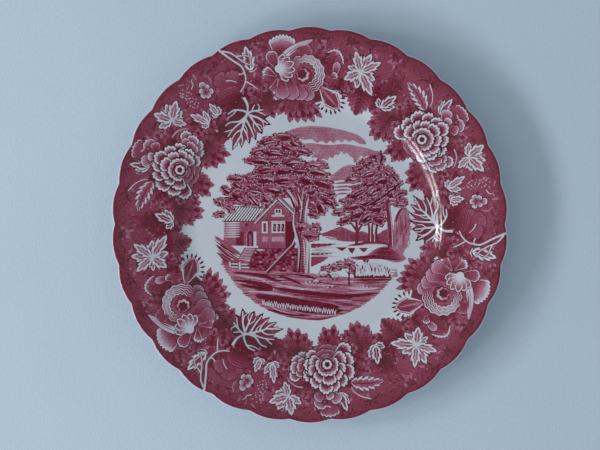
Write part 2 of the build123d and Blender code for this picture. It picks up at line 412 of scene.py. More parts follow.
def spread(art, base, tips, width, **style):
    """A leaf of several lobes that share a base: outer lobes first, the middle one on top."""
    order = sorted(range(len(tips)), key=lambda k: -abs(k - (len(tips) - 1) / 2))
    for k in order:
        w = width[k] if isinstance(width, (tuple, list)) else width
        leaf(art, base, tips[k], w, **style)


def pale_lobe(art, base, tip, width, teeth=3, rim=BARE, inside=LIGHT, vein=DEEP):
    """A lobe of a pale leaf: dark outline, white toothed rim, pink field and fine veins."""
    f = Frame(base, tip)
    art.fill(toothed(f, width, teeth, 0, 0.25, grow=0.6, fat=0.7)[0], BLACK - 0.02)
    art.fill(toothed(f, width, teeth, 0, 0.25, fat=0.7)[0], rim)
    inner = Frame(f.put((0.08 * f.length, 0))[0], f.put((0.88 * f.length, 0))[0])
    art.fill(toothed(inner, width * 0.54, teeth, 0, 0.25, fat=0.7)[0], inside + 0.3, inside - 0.1, base,
             tip)
    for side in (1, -1):
        for t in (0.2, 0.42, 0.62):
            art.swell(f.put(((t * f.length, 0), ((t + 0.2) * f.length, side * width * 0.27))), 0.34, vein)
    art.swell(f.put(((0.05 * f.length, 0), (0.85 * f.length, 0))), 0.42, vein)


def white_vein(art, points, width):
    """A raised white vein with a dark shadow along it."""
    line = np.asarray(points, float)
    art.stroke(line, width + 0.7, DARK, end=0.5)
    art.stroke(line, width, BARE + 0.04, end=0.45)


def petals(art, base, rows, **style):
    """Petals that share a base; each row is a tip and a width."""
    for tip, width in rows:
        petal(art, at(*base), at(*tip), width, **style)


def branches(art, runs, grow, margin, shade, tone, end):
    """Raised pale branches: first the dark shadow of them all, then the branches."""
    for points, width in runs:
        art.stroke(ring(*points), grow * width + margin, shade, end=0.6)
    for points, width in runs:
        art.stroke(ring(*points), grow * width, tone, end=end)


def scattered(art, count):
    """Angles over one section of the border, one at random in each of count equal steps."""
    for k in range(count):
        yield SECTION * (k + art.rng.random()) / count


def circle(n):
    """Points of a circle of radius 1."""
    t = np.linspace(0, 2 * pi, n, endpoint=False)
    return np.stack((np.cos(t), np.sin(t)), axis=1)


def frill_circle(frills, depth):
    """A circle of radius 1 with a frilled edge."""
    t = np.linspace(0, 2 * pi, frills * 6, endpoint=False)
    r = 1 - depth + depth * np.abs(np.sin(frills * t / 2))
    return np.stack((r * np.cos(t), r * np.sin(t)), axis=1)


def diamond(inner, outer, width):
    """A slim four-cornered leaf from one point to another."""
    f = Frame(inner, outer)
    return f.put(((0, 0), (0.6 * f.length, width / 2), (f.length, 0), (0.6 * f.length, -width / 2)))


# ---- The border picture ----

def bloom(art, centre, up, rows):
    """Rows of frilled petals about a centre. Each row: reach, start and end angle, petals, width, style."""
    c = np.asarray(centre, float)
    up = np.asarray(up, float)
    right = np.array((up[1], -up[0]))
    for reach, first, last, count, width, style in rows:
        turns = np.linspace(first, last, count)
        order = sorted(range(count), key=lambda k: -abs(k - (count - 1) / 2))
        for k in order:
            turn = radians(turns[k] + art.rng.uniform(-5, 5))
            way = up * cos(turn) + right * sin(turn)
            size = reach * (1 + 0.05 * art.rng.uniform(-1, 1))
            petal(art, c + way * reach * 0.12, c + way * size, width * art.rng.uniform(0.88, 1.16), **style)


def chrysanthemum(art):
    """The great bloom: rows of petals, frilled ones above and plain ones below."""
    c = at(49.15, 90.6)
    up = c / np.hypot(*c)
    frilly = dict(frills=4, depth=1.1, rays=4, root=DEEP + 0.1, lip=LIGHT + 0.1, edge=1.9, line=0.8)
    plain = dict(frills=2, depth=0.5, rim=LIGHT - 0.06, rays=4, lip=MID + 0.04, edge=0.4)
    bloom(art, c, up, (
        (13.8, 112, 250, 5, 9.5, dict(plain, cover=0.6)),
        (18.8, -122, -74, 3, 9.5, dict(frilly, cover=0.7)),
        (18.6, -62, 66, 6, 9.6, dict(frilly, cover=0.7)),
        (15.8, 76, 124, 3, 8, dict(frilly, frills=3, cover=0.6)),
        (10, 104, 256, 4, 8.4, dict(plain, cover=0.55)),
        (13, -106, 106, 7, 8.8, dict(frilly, cover=0.6, rays=5)),
        (7.4, 100, 260, 3, 6.6, dict(plain, cover=0.5, rays=3)),
        (7.8, -94, 94, 4, 7, dict(frilly, depth=0.8, frills=3, edge=1.4, cover=0.4, rays=3)),
        (5.2, 60, 300, 5, 4.6, dict(plain, cover=0.4, rays=2)),
    ))
    art.fill(c + 4.4 * frill_circle(9, 0.1), BLACK - 0.02)
    art.fill(c + 3.6 * frill_circle(9, 0.1), DEEP)
    art.fill(c + 3.1 * frill_circle(7, 0.12), BARE)
    art.fill(c + 1.8 * frill_circle(5, 0.14), DARK + 0.06)


def half_bloom(art):
    """A bloom half hidden behind the great one, and the stem over it."""
    base = (41, 91.5)
    petals(art, base, (((34.6, 100.4), 7.5), ((37.5, 82), 7), ((34.2, 86.6), 7.6), ((33.9, 93.2), 8)),
           depth=1, lip=LIGHT + 0.1, cover=0.45, edge=1.5)
    petals(art, base, (((37, 97.6), 5.5), ((37.2, 87), 5.5), ((36.6, 92), 6)),
           frills=3, cover=0.3, rays=2)
    stem = ring((39.5, 104.5), (37, 104), (34.8, 101.5), (33.6, 99))
    art.stroke(stem, 1.9, DARK)
    art.stroke(stem, 1, PALE)


def tulip(art):
    """The small upright bloom over the great one."""
    petal(art, at(48.2, 113), at(48.2, 124), 12.5, frills=5, depth=0.9, lip=MID, cover=0.2, rays=6)
    for tip in ((54.6, 117.3), (53.4, 121.6)):
        pale_lobe(art, at(52.2, 109), at(*tip), 5, teeth=2, inside=MID)
    petal(art, at(47.4, 108), at(44.6, 118.2), 8.5, frills=3, depth=0.7, lip=LIGHT + 0.1)
    petal(art, at(47, 107.6), at(43.9, 112.8), 6.5, frills=2, depth=0.5, rim=PALE, lip=MID)
    petal(art, at(48.4, 106), at(51.8, 115.6), 7.5, frills=3, depth=0.6, lip=LIGHT, rays=5)
    petal(art, at(48, 106.4), at(49.2, 113), 5.5, frills=2, depth=0.4, lip=LIGHT, rays=3)
    art.fill(at(46.9, 114.2) + 2 * frill_circle(6, 0.3), BLACK - 0.05)
    art.fill(at(46.9, 114.2) + 1 * frill_circle(5, 0.3), MID)
    art.stroke(ring((48.6, 117.6), (47.4, 116.6), (46, 117.2)), 1, PALE)


def ripple(art, centre, radius, first, last, width, tone, waves):
    """A wavy line along an arc about a centre, pointed at both ends; angles in degrees."""
    t = np.linspace(0, 1, waves * 4 + 1)
    turn = np.radians(first + (last - first) * t)
    r = radius + 0.5 * np.sin(2 * pi * waves * t)
    art.swell(centre + np.stack((r * np.cos(turn), r * np.sin(turn)), axis=1), width, tone, steps=1)


def peony(art):
    """The wide bloom: a wavy cup, petals that open to the left, and a fan in front."""
    cup = at(103.8, 96.4)
    up = cup / np.hypot(*cup)
    way = degrees(atan2(up[1], up[0]))
    # the cup, seen half from above: wavy petals one inside another round a dark heart
    art.fill(cup + 13.4 * frill_circle(15, 0.04), BLACK - 0.06)
    art.fill(cup + 12.9 * frill_circle(15, 0.04), MID)
    for k, radius in enumerate((12.3, 11, 9.7, 8.4, 7.2)):
        centre = cup + 0.25 * k * up
        ripple(art, centre, radius - 0.7, way - 170, way + 40, 1, DARK, waves=9)
        ripple(art, centre, radius - 0.1, way - 172, way + 42, 0.9, PALE if k % 2 else BARE + 0.04, waves=9)
    # petals that open to the left
    petals(art, (114.4, 97), (((117.2, 82.8), 8.5), ((119.4, 103.2), 8.5), ((119.7, 88.6), 9.5),
                                ((121, 95.8), 10.5)),
           frills=5, depth=1.1, lip=LIGHT + 0.12, rays=6, cover=0.3, edge=1.6)
    # the fan on top and the small petals beside it
    petal(art, at(111.4, 104.5), at(110.4, 123.4), 17.5, frills=8, depth=1.2, root=DEEP, lip=PALE, rays=9,
          cover=0.45, edge=1.5)
    petal(art, at(113.6, 101), at(115.2, 114.4), 8, frills=3, depth=0.6, rim=BARE, lip=MID, rays=4)
    petal(art, at(105, 108), at(103.2, 116.6), 8.5, frills=3, depth=0.5, rim=LIGHT, lip=MID + 0.08, rays=5)
    # lower petals, plain and broad
    for base, tip, width in (((104.5, 88.5), (101, 80.4), 7.5), ((107, 92), (105.2, 80.2), 9),
                             ((110, 96.5), (109.6, 80.8), 10), ((113, 96.5), (114, 82.4), 9.5)):
        petal(art, at(*base), at(*tip), width, frills=3, depth=0.5, rim=PALE, root=DEEP, lip=LIGHT + 0.04,
              rays=5, cover=0.2, edge=0.55)
    # the curled petal that crosses from left to right
    crescent = ((113.4, 105), (112, 109.6), (109.4, 113.4), (106.4, 116.2), (103.4, 117.8), (101, 118.4),
                (102.8, 115.4), (105.4, 113.4), (107.4, 110.6), (109.4, 108.4), (111.8, 105.2),
                (113.2, 103.4))
    line = curve(ring(*crescent), 3, closed=True)
    art.fill(line + (line - line.mean(axis=0)) * 0.10, BLACK - 0.04)
    art.fill(line, BARE, PALE, at(112, 107), at(103, 117))
    art.swell(ring((111.6, 108.2), (108.2, 112.4), (103.4, 116.6)), 0.5, MID)
    art.swell(ring((109, 109.8), (106.4, 112.8), (103.6, 115.2)), 0.8, DEEP)
    # the dark heart of the cup and its frilled lip
    art.fill(at(104.2, 95.8) + 5.6 * frill_circle(9, 0.12), BLACK - 0.06)
    art.fill(at(104.1, 95.8) + 5 * frill_circle(9, 0.14), DEEP)
    art.fill(at(104.6, 96.4) + 4.2 * frill_circle(7, 0.2), BARE + 0.06, LIGHT, at(103, 93), at(106, 99))
    art.fill(at(104.9, 96.8) + 3.2 * frill_circle(7, 0.2), DARK, BLACK - 0.06, at(105, 99), at(105, 94))
    # the fan of rounded lobes in front
    fan(art, at(113.6, 102), at(106.9, 102.2), 5.6, 6, 116)
    art.fill(at(113.2, 102) + 2.6 * circle(16), BARE)


def side_flower(art):
    """Small flower in profile beside the peony."""
    base = at(92.6, 94.5)
    for tip, width, root, lip in (((96.6, 104), 6, DARK, DEEP), ((94.6, 109.4), 7.5, DARK, DEEP),
                                  ((91.4, 111.2), 6.5, DARK, MID)):
        f = Frame(base, at(*tip))
        art.fill(petal_outline(f, width, 3, 0.6, grow=0.35), BLACK - 0.06)
        art.fill(petal_outline(f, width, 3, 0.6), root, lip, base, at(*tip))
    line = ring((96, 110.8), (94.6, 112.2), (93, 112.6), (91.8, 110.8), (90.8, 108), (90.2, 105))
    art.fill(zigzag(line, 1.9, 9), DARK)
    art.fill(zigzag(line, 1.3, 9), BARE + 0.04)
    petal(art, base, at(92.2, 106.2), 5.2, frills=3, depth=0.5, rim=PALE, lip=LIGHT)
    petal(art, at(94.2, 94.6), at(91.6, 98.6), 4.6, frills=3, depth=0.6)


def zigzag(line, width, teeth):
    """A frilled ribbon along a curve, toothed on its outer side."""
    spine = curve(line, 8)
    pick = np.linspace(0, len(spine) - 1, teeth * 2 + 1)
    spine = np.stack([np.interp(pick, range(len(spine)), spine[:, k]) for k in (0, 1)], axis=1)
    side = normals(spine)
    t = np.linspace(0, 1, len(spine))[:, None]
    swell = np.sin(np.pi * np.clip(t, 0.04, 0.96)) ** 0.5
    out = np.where(np.arange(len(spine)) % 2, 1, 0.35)[:, None]
    return np.vstack((spine + side * width * out * swell, (spine - side * width * 0.3 * swell)[::-1]))


def maple(art, base, lobes, **style):
    """A pale leaf of pointed lobes."""
    order = sorted(range(len(lobes)), key=lambda k: np.hypot(*(at(*lobes[k][0]) - at(*base))))
    for k in order:
        tip, width = lobes[k]
        pale_lobe(art, at(*base), at(*tip), width, **style)
    for k in order:
        tip = at(*lobes[k][0])
        art.stroke((at(*base), 0.35 * at(*base) + 0.65 * tip), 0.7, BARE + 0.05)


def veined_leaf(art):
    """The dark leaf with branching white veins."""
    tips = ((23.2, 83.6), (25.6, 78), (27.8, 69.4), (23.2, 66.6), (18.6, 65.3), (14.4, 64.7), (9.6, 66.4),
            (3.5, 69.4), (3.2, 75), (3.6, 80.6), (6.4, 85.6), (15, 89.8), (19.2, 88.6))
    joint = at(11, 82.6)
    outline = []
    for k, (a, r) in enumerate(tips):
        after = tips[(k + 1) % len(tips)]
        tip, other = at(a, r), at(*after)
        notch = 0.5 * (tip + other)
        notch += (joint - notch) * 0.2
        outline += [tip, tip * 0.62 + notch * 0.38 + (tip - joint) * 0.01, notch]
    outline = np.array(outline)
    art.edged_blob(outline, 1.035, BLACK - 0.06, DARK + 0.04, MID, joint, at(14, 66))
    for k in range(0, len(outline), 3):
        t, n0, n1 = outline[k], outline[k - 1], outline[(k + 2) % len(outline)]
        art.fill((t + (t - joint) * 0.03, 0.5 * t + 0.5 * n0, 0.5 * t + 0.5 * n1), BLACK)
    for k in range(0, len(outline), 3):  # pink fields between the veins
        t, n1 = outline[k], outline[(k + 2) % len(outline)]
        m = 0.5 * (t + n1)
        art.swell((joint + (m - joint) * 0.6, joint + (m - joint) * 0.93), 1.1, MID - 0.06)
    veins = (
        (((9.4, 92), (9.4, 87), (11, 82.6)), 1.5),
        (((11, 82.6), (13.8, 79.4), (17.4, 75.4), (20.2, 72.4), (26.6, 70)), 1.3),
        (((11, 82.6), (12.6, 85.4), (15.4, 88.2), (18.6, 88.4)), 1.1),
        (((12.4, 81), (16.2, 80.6), (19.8, 83.4), (22.6, 83.6)), 1.1),
        (((13.8, 79.4), (17.6, 79.4), (21, 78.8), (25, 77.6)), 1),
        (((17.4, 75.4), (20.6, 76), (24.6, 74.4)), 0.9),
        (((19, 73.6), (20.2, 70.2), (22.6, 67.4)), 0.9),
        (((16.6, 76.4), (16.8, 71.4), (18.4, 66.6)), 1),
        (((13.2, 80), (13.4, 73.4), (14.4, 66.4)), 1.1),
        (((11, 82.6), (10.4, 76), (9.4, 68)), 1.2),
        (((10.6, 80.4), (7.6, 76.4), (4.4, 70.6)), 1.2),
        (((11, 82.6), (7.4, 81.4), (4, 80)), 1.1),
        (((9, 82.2), (7.6, 84), (6.6, 85)), 0.8),
        (((8.2, 77.4), (6.6, 73.4), (7, 69.6)), 0.8),
        (((7.4, 81.4), (5.4, 78.6), (3.8, 76)), 0.8),
        (((14.8, 87.4), (16.8, 86.4), (19.8, 86.6)), 0.7),
        (((15.2, 78.6), (15.2, 74.6), (16.2, 71.6)), 0.7),
        (((10.4, 76), (12, 72.4), (12, 69.4)), 0.7),
        (((10.2, 74), (8.4, 71.8), (8.2, 68.6)), 0.7),
        (((21, 78.8), (23.4, 80.4), (24.6, 81)), 0.7),
        (((20.2, 72.4), (23, 71.4), (25, 69)), 0.7),
        (((5.8, 81), (5, 83.4), (5.4, 84.6)), 0.7),
    )
    branches(art, veins, 1.25, 1, BLACK - 0.08, BARE + 0.02, 0.5)


def tendrils(art):
    """The curling stems that reach the edge, with a bud between them."""
    pale_lobe(art, at(2.9, 105), at(1.9, 121.4), 7.6, teeth=4, inside=MID)
    art.stroke(ring((2.9, 106), (1.9, 112), (1.8, 118)), 0.8, BARE)
    runs = (
        (((9.5, 125.6), (8.5, 121), (7.1, 115.9), (5.4, 110.6), (5.2, 106.6), (5.7, 102), (7.4, 98.3),
          (9.6, 96.2)), 1.4),
        (((8.8, 124), (6.7, 120.6), (5.1, 115.2), (3.5, 111), (1.4, 108)), 1.1),
        (((5.7, 117.6), (4.2, 116.6), (2.7, 115.7), (1, 112.6)), 0.9),
        (((7.3, 106.6), (6.2, 105.9), (5.2, 106.4)), 1),
        (((5.9, 100.4), (4.2, 96.6), (3, 93.4)), 1),
        (((3.6, 105.6), (2.2, 104.8), (0.8, 106)), 0.9),
    )
    branches(art, runs, 1, 0.8, DARK, BARE + 0.04, 0.55)


def dark_rose(art):
    """The mid-toned bloom between the small blossom and the tendrils."""
    for base, tip, width in (((12, 100), (17.6, 104.6), 8), ((11.6, 101), (14.6, 113), 11),
                             ((11, 101), (8.6, 111), 10)):
        f = Frame(at(*base), at(*tip))
        art.fill(petal_outline(f, width, 3, 0.6, grow=0.5), BLACK - 0.08)
        art.fill(petal_outline(f, width, 3, 0.6), DEEP, MID - 0.04, f.base, at(*tip))
        for s in (-0.3, 0, 0.3):
            art.swell(f.put(((0.2 * f.length, s * width * 0.3),
                             (0.8 * f.length, s * width))), 0.4, DEEP + 0.1)
    bowl = curve(ring((20, 97.6), (17, 101.6), (12.6, 102.6), (9.6, 100), (9.4, 96), (13.4, 93.2),
                      (18, 94.2)),
                 5, closed=True)
    art.edged_blob(bowl, 1.08, BLACK - 0.08, MID, DARK, at(14, 102), at(14, 94))
    for r in (95.2, 97, 98.8, 100.4):
        art.swell(ring((18.6, r - 0.6), (14.4, r + 0.9), (10.4, r - 0.6)), 0.55, DARK)
    white_vein(art, ring((12.2, 106.6), (10.6, 105.2), (9, 102.4)), 0.9)


def blossom(art):
    """A small five-petalled flower, its stem, and a trail of seeds."""
    c = (20.1, 108)
    petals(art, c, (((22.4, 106.6), 3.6), ((17.6, 105.6), 3.6), ((20.2, 103.4), 3.6), ((18.2, 111.6), 4),
                    ((19.4, 115), 4.4), ((21.6, 111.4), 3.4)),
           frills=2, depth=0.4, rays=2, lip=LIGHT, edge=0.6)
    art.dot(at(*c), 1.6, DARK, 9)
    white_vein(art, ring((23.2, 115), (21.8, 116.6), (21.6, 118.6), (20.8, 119.6)), 0.7)
    for k in range(26):
        a = 25.6 + 1.3 * sin(k * 2.4) + art.rng.uniform(-0.4, 0.4)
        art.dot(at(a, 104.6 + 0.55 * k), 0.75 + 0.4 * art.rng.random(), PALE, 5)


def bud(art):
    """The fringed bud that hangs into the well."""
    base, tip = at(97.6, 88.6), at(88.3, 77.6)
    f = Frame(base, tip)
    # bare china round the bud, then the fringe
    art.fill(petal_outline(Frame(base, f.put((f.length + 4.6, 0))[0]), 18, 0, 0, droop=0.6), BARE)
    for k in range(13):
        turn = radians(-118 + 19 * k)
        away = np.array((cos(turn) * 1.25, sin(turn)))
        inner = f.put(((f.length * 0.52 + 5.9 * away[0]), 6 * away[1]))[0]
        outer = f.put(((f.length * 0.52 + 9.4 * away[0]), 9.6 * away[1]))[0]
        art.fill(diamond(inner, outer, 1.5), BLACK - 0.04)
    for grow, tone in ((1.5, LIGHT + 0.08), (0.8, BARE + 0.08), (0.25, DARK)):
        art.fill(petal_outline(f, 9.4, 0, 0, grow=grow, droop=0.5), tone)
    art.fill(petal_outline(f, 9.4, 0, 0, droop=0.5), MID - 0.06, DEEP, base, tip)
    for s in (-0.75, -0.4, 0, 0.4, 0.75):
        art.swell(f.put(((0.12 * f.length, s * 2.2), (0.55 * f.length, s * 4.2),
                         (0.9 * f.length, s * 3))), 0.75,
                  DARK if s else LIGHT)
    for s in (-0.6, -0.2, 0.2, 0.6):
        art.swell(f.put(((0.3 * f.length, s * 3.2), (0.8 * f.length, s * 3.8))), 0.5, LIGHT)


def leaves(art):
    """Toothed leaves that hang towards the well."""
    lobes = (
        ((107.7, 86), ((118.2, 74), (113.2, 67.4), (108.6, 66.4), (104, 66.2), (99.4, 66.4), (95.4, 69.6)),
         (9, 10, 10, 10, 10, 8)),
        ((121, 84), ((124, 76.6), (120.2, 72.6)), (8, 8)),
        ((65, 86), ((74, 83), (72.4, 75), (68.2, 69.2), (64.4, 68.6), (60.2, 71.6), (57.4, 73.4)),
         (8, 9, 10, 10, 9, 8)),
        ((51.6, 82), ((57, 74.6), (55.9, 66.4), (49.6, 66.6), (46.4, 72.6)), (8, 9, 9, 8)),
        ((36.8, 84), ((43.6, 75.4), (40.4, 70), (35.6, 67.4), (30.4, 68), (29, 75)), (8, 9, 9, 9, 8)),
    )
    for base, tips, widths in lobes:
        spread(art, at(*base), [at(*t) for t in tips], widths, teeth=4, depth=0.26, body=LIGHT + 0.1)
    leaf(art, at(80.4, 93.4), at(79.4, 76.6), 16.5, teeth=7, depth=0.14, fat=0.2)


def dark_sprigs(art):
    """Small dark leaves in the ground."""
    for c, tips in (
        ((99.4, 120), ((102.2, 118.6), (101.6, 122.6), (99.6, 124.4), (97.4, 123), (96.4, 119.6),
                       (98.6, 116))),
        ((88.6, 119), ((91, 117.4), (90.6, 121.6), (88.4, 123.6), (86.4, 121))),
        ((83.6, 121), ((85.4, 122.8), (83.4, 124.2), (81.6, 121.6))),
        ((61.6, 119.2), ((64, 118), (62.8, 121.8), (60.2, 121.4), (59.4, 118.2))),
        ((54.8, 122.6), ((56.2, 124.2), (53.4, 124), (55.4, 120))),
        ((117.6, 121.4), ((119.6, 122.6), (117.4, 124.4), (115.6, 121.6))),
        ((31, 97.6), ((32.2, 101), (30.2, 101.6), (29.4, 97.2))),
    ):
        for tip in tips:
            art.fill(diamond(at(*c), at(*tip), 1.9), DARK + 0.06)
            art.swell((at(*c), 0.3 * at(*c) + 0.7 * at(*tip)), 0.3, MID)
    spread(art, at(70.2, 98), [at(*t) for t in ((74, 103), (73, 111.6), (69.8, 110), (67.2, 102.4))], 6,
           teeth=3, body=DEEP, root=DARK, vein=BLACK, edge=BLACK - 0.08, points=None)


def feather(art):
    """The white-edged leaf left of the great bloom, and the curl above it."""
    base, tip = at(56.6, 104.6), at(67.6, 110.6)
    f = Frame(base, tip)
    art.fill(toothed(f, 8.4, 6, -0.06, 0.3, grow=0.5)[0], DARK)
    art.fill(toothed(f, 8.4, 6, -0.06, 0.3)[0], BARE + 0.02)
    art.fill(toothed(f, 5.2, 6, -0.06, 0.3)[0], MID)
    art.swell(f.put(((0, 0), (0.5 * f.length, -0.06 * f.length), (0.95 * f.length, 0))), 0.8, DARK)
    white_vein(art, ring((61.4, 118), (58.8, 114.8), (57, 110.8), (56.4, 107.6)), 0.8)
    maple(art, (70.8, 87.8), (((73.6, 92.4), 5), ((68, 99.8), 6), ((66, 93.6), 5)), inside=MID)


def scraps(art):
    """Leaves and shading that fill the ground between the motifs."""
    for base, tip, width in (
        ((30, 84), (25.6, 92), 6), ((27, 82), (31.6, 89.6), 6), ((24.4, 88.6), (19.4, 92.4), 6),
        ((99, 84.6), (95.6, 90.2), 5.5), ((121.5, 105.5), (118.4, 112), 6), ((2.6, 100), (0.4, 92), 7),
        ((3, 86.6), (5.6, 94.4), 7), ((60, 97.4), (63.8, 101.4), 6), ((75.6, 96), (74, 103.4), 5),
        ((42.2, 104.6), (40.2, 111.6), 6), ((38.6, 104.8), (36, 110.4), 5), ((88.6, 94), (86.4, 89.6), 5),
        ((61.4, 89.6), (64.6, 95.6), 6), ((118.2, 103.6), (120.6, 110), 5),
        ((58, 101), (63, 107), 6.5), ((45, 104), (41.6, 113), 6.5), ((100.6, 106), (97.6, 114), 6.5),
        ((96, 96), (100, 102), 6), ((72, 94), (69, 101.6), 6.5), ((16, 94), (22.6, 97), 6.5),
        ((6.4, 100), (13, 106), 6), ((88, 98), (84.6, 91), 6), ((117, 98), (119.6, 92), 6.5),
        ((36.6, 86), (32.4, 93), 6.5), ((57, 84), (62, 84.6), 6.5), ((115.6, 115.6), (119, 120.4), 5.5),
    ):
        tip = at(*base) + 1.3 * (at(*tip) - at(*base))
        leaf(art, at(*base), tip, 1.3 * width, teeth=4, body=LIGHT + 0.06, root=DEEP, points=None,
             edge=BLACK - 0.04, vein=DARK + 0.06)
    art.fill(diamond(at(27, 86.4), at(27 - 0.6, 86.4 - 2.6), 1.6), PALE)


def edge_shade(art):
    """The ground grows darker towards the edge, in short uneven strokes."""
    for k in range(80):
        a = 1.5 * k
        art.fill(ring((a, 128), (a, 114), (a + 1.5, 114), (a + 1.5, 128)), MID + 0.08, DEEP + 0.08,
                 at(a, 115),
                 at(a, 126))
    for a in scattered(art, 230):
        r = 117 + 9.4 * sqrt(art.rng.random())
        lean = art.rng.uniform(-0.5, 0.5)
        art.swell(ring((a, r), (a + lean, r + art.rng.uniform(1, 2.6))), 0.42,
                  art.rng.choice((MID - 0.1, BLACK, BLACK, DARK)))
    for a in scattered(art, 230):
        r = 92 + 27 * art.rng.random()
        art.swell(ring((a, r), (a + 0.8, r + art.rng.uniform(-0.2, 0.2))), 0.36,
                  art.rng.choice((LIGHT + 0.06, DEEP + 0.08, DARK)))


def speckle(art):
    """Dark seeds towards the edge and pale ones further in."""
    for a in scattered(art, 170):
        art.dot(at(a, 114 + 11.6 * sqrt(art.rng.random())), art.rng.uniform(0.8, 1.4), BLACK - 0.02, 5)
    for a in scattered(art, 150):
        art.dot(at(a, 90 + 30 * art.rng.random()), art.rng.uniform(0.7, 1.1), LIGHT, 5)


def mottle(art):
    """Leaf-shaped dabs that give the ground its depth."""
    for a in scattered(art, 300):
        r = 84 + 38 * art.rng.random()
        turn = art.rng.uniform(0, pi)
        half = art.rng.uniform(1.2, 3) * np.array((cos(turn), sin(turn)))
        middle = at(a, r) + (art.rng.uniform(-0.5, 0.5), art.rng.uniform(-0.5, 0.5))
        art.swell((at(a, r) - half, middle, at(a, r) + half), art.rng.uniform(0.8, 1.9),
                  art.rng.choice((DARK, DARK, DARK + 0.06, DEEP, MID - 0.1, LIGHT + 0.06)), steps=2)


def hollows(art):
    """Near-black gaps between the leaves, behind the blooms."""
    for a, r, wide, deep in (
        (39, 90, 9, 9), (60, 88, 8, 8), (51, 82, 12, 5), (44, 101, 8, 6),
        (55, 103, 7, 4), (100, 86, 7, 7), (117, 92, 6, 12), (98, 104, 6, 9),
        (112, 84, 10, 5), (14, 92, 12, 7), (25, 86, 7, 8), (73, 92, 6, 8),
        (86, 92, 8, 6), (2, 90, 6, 9), (33, 88, 6, 7), (10, 106, 9, 6),
    ):
        c = at(a, r)
        t = np.linspace(0, 2 * pi, 40, endpoint=False)
        ragged = 1 + 0.14 * np.sin(7 * t + a) + 0.08 * np.sin(12 * t)
        up = c / np.hypot(*c)
        side = np.array((-up[1], up[0]))
        blob = np.outer(wide * ragged * np.cos(t), side) + np.outer(deep * ragged * np.sin(t), up)
        art.fill(c + blob * 1.12, DEEP + 0.02)
        art.fill(c + blob * 0.94, DARK + 0.02)


def border():
    """One section of the border, from its first angle to the next section's."""
    art = Art(BORDER_SEED)
    inner = ((120, 77), (113, 77), (106, 77), (99, 79), (97, 86), (91, 88), (85, 89), (80, 89.5),
             (73.5, 89.5), (71, 80), (62, 77), (52, 77), (44, 78.5), (35, 77), (28, 76), (20, 78),
             (10, 77), (5, 77), (0, 77))
    outer = [at(a, 126.2) for a in range(0, 121, 2)]
    art.fill(np.vstack((outer, ring(*inner))), MID + 0.1)
    edge_shade(art)
    hollows(art)
    mottle(art)
    speckle(art)
    leaves(art)
    scraps(art)
    dark_sprigs(art)
    dark_rose(art)
    veined_leaf(art)
    bud(art)
    side_flower(art)
    maple(art, (83.6, 103.2), (((87.2, 115), 6), ((82, 116.2), 7), ((78.2, 113.6), 6),
                              ((77.6, 101.6), 7), ((76.2, 92), 7), ((83.2, 92.4), 7),
                              ((88.8, 95.8), 7), ((88.6, 104.6), 5)))
    maple(art, (35.1, 110.6), (((36.6, 122.4), 7), ((32, 120), 6), ((29, 116.6), 7),
                              ((30.2, 109.4), 7), ((32.8, 101.8), 5), ((39.4, 114.8), 5.5)))
    maple(art, (26.8, 91.6), (((29.4, 104.6), 5), ((30, 93.6), 4.6), ((25, 100.4), 4.6)))
    maple(art, (22, 91.6), (((21.6, 101), 4.6), ((23.8, 94.6), 4), ((19.6, 96), 4.6)))
    tulip(art)
    blossom(art)
    feather(art)
    half_bloom(art)
    chrysanthemum(art)
    peony(art)
    tendrils(art)
    return art


# ---- The centre picture ----

def clump(art, x, y, long, high, turn, body=MID, core=DARK):
    """A cluster of leaves: a pale lacy edge, a mid-toned body and dark strokes of shade."""
    c, s = cos(radians(turn)), sin(radians(turn))
    spin = np.array(((c, s), (-s, c)))
    middle = np.array((x, y))
    lobes = max(6, round(long * 1))
    phase = art.rng.uniform(0, 6)
    t = np.linspace(0, 2 * pi, lobes * 5, endpoint=False)
    ragged = 1 + 0.16 * np.sin(lobes * t + phase) + 0.10 * np.sin(3 * t + 2 * phase)
    oval = np.stack((long * ragged * np.cos(t), high * ragged * np.sin(t)), axis=1)
    grown = oval * ((long + 0.5) / long, (high + 0.5) / high)
    art.fill(middle + (0.3, -0.5) + grown @ spin, BLACK - 0.14)
    art.fill(middle + (0.1, -0.1) + (0.97 * grown) @ spin, LIGHT)
    art.fill(middle + (-0.1, 0.2) + (0.9 * oval) @ spin, body - 0.1, body + 0.06, middle + (0, high),
             middle - (0, high))
    beads = round((long + high) * 1.5)
    for k in range(beads):
        a = 2 * pi * (k + 0.4 * art.rng.random()) / beads
        r = 1 + 0.10 * sin(3 * a + 2 * phase)
        spot = middle + np.array(((long + 0.4) * r * cos(a), (high + 0.4) * r * sin(a))) @ spin
        art.dot(spot, 1.5, BLACK - 0.1, 5)
        if k % 3:
            art.dot(spot + (0.05, 0.1), 1, art.rng.choice((BARE, BARE + 0.05, PALE)), 4)
    for k in range(3):
        a, r = art.rng.uniform(-0.5, 0.4), art.rng.uniform(0.4, 0.62)
        run = ((a - r, -0.30 + 0.22 * k), (a, -0.40 + 0.22 * k), (a + r, -0.26 + 0.22 * k))
        art.swell(middle + (np.array(run) * (long, high)) @ spin, high * (0.80 - 0.14 * k), core)
    for k in range(2):
        a, b, y = art.rng.uniform(-0.8, 0), art.rng.uniform(0.2, 0.9), art.rng.uniform(-0.5, 0.6)
        run = ((a, y), ((a + b) / 2, y + 0.1), (b, y - 0.1))
        art.swell(middle + (np.array(run) * (long, high)) @ spin, 0.7, art.rng.choice((PALE, LIGHT)))
    for k in range(round(long * 0.7)):
        a, r = art.rng.uniform(0.2, 2.9), art.rng.uniform(0.3, 0.7)
        spot = middle + np.array((long * r * cos(a), high * r * sin(a))) @ spin
        art.dot(spot, art.rng.uniform(0.6, 0.9), art.rng.choice((PALE, LIGHT)), 5)


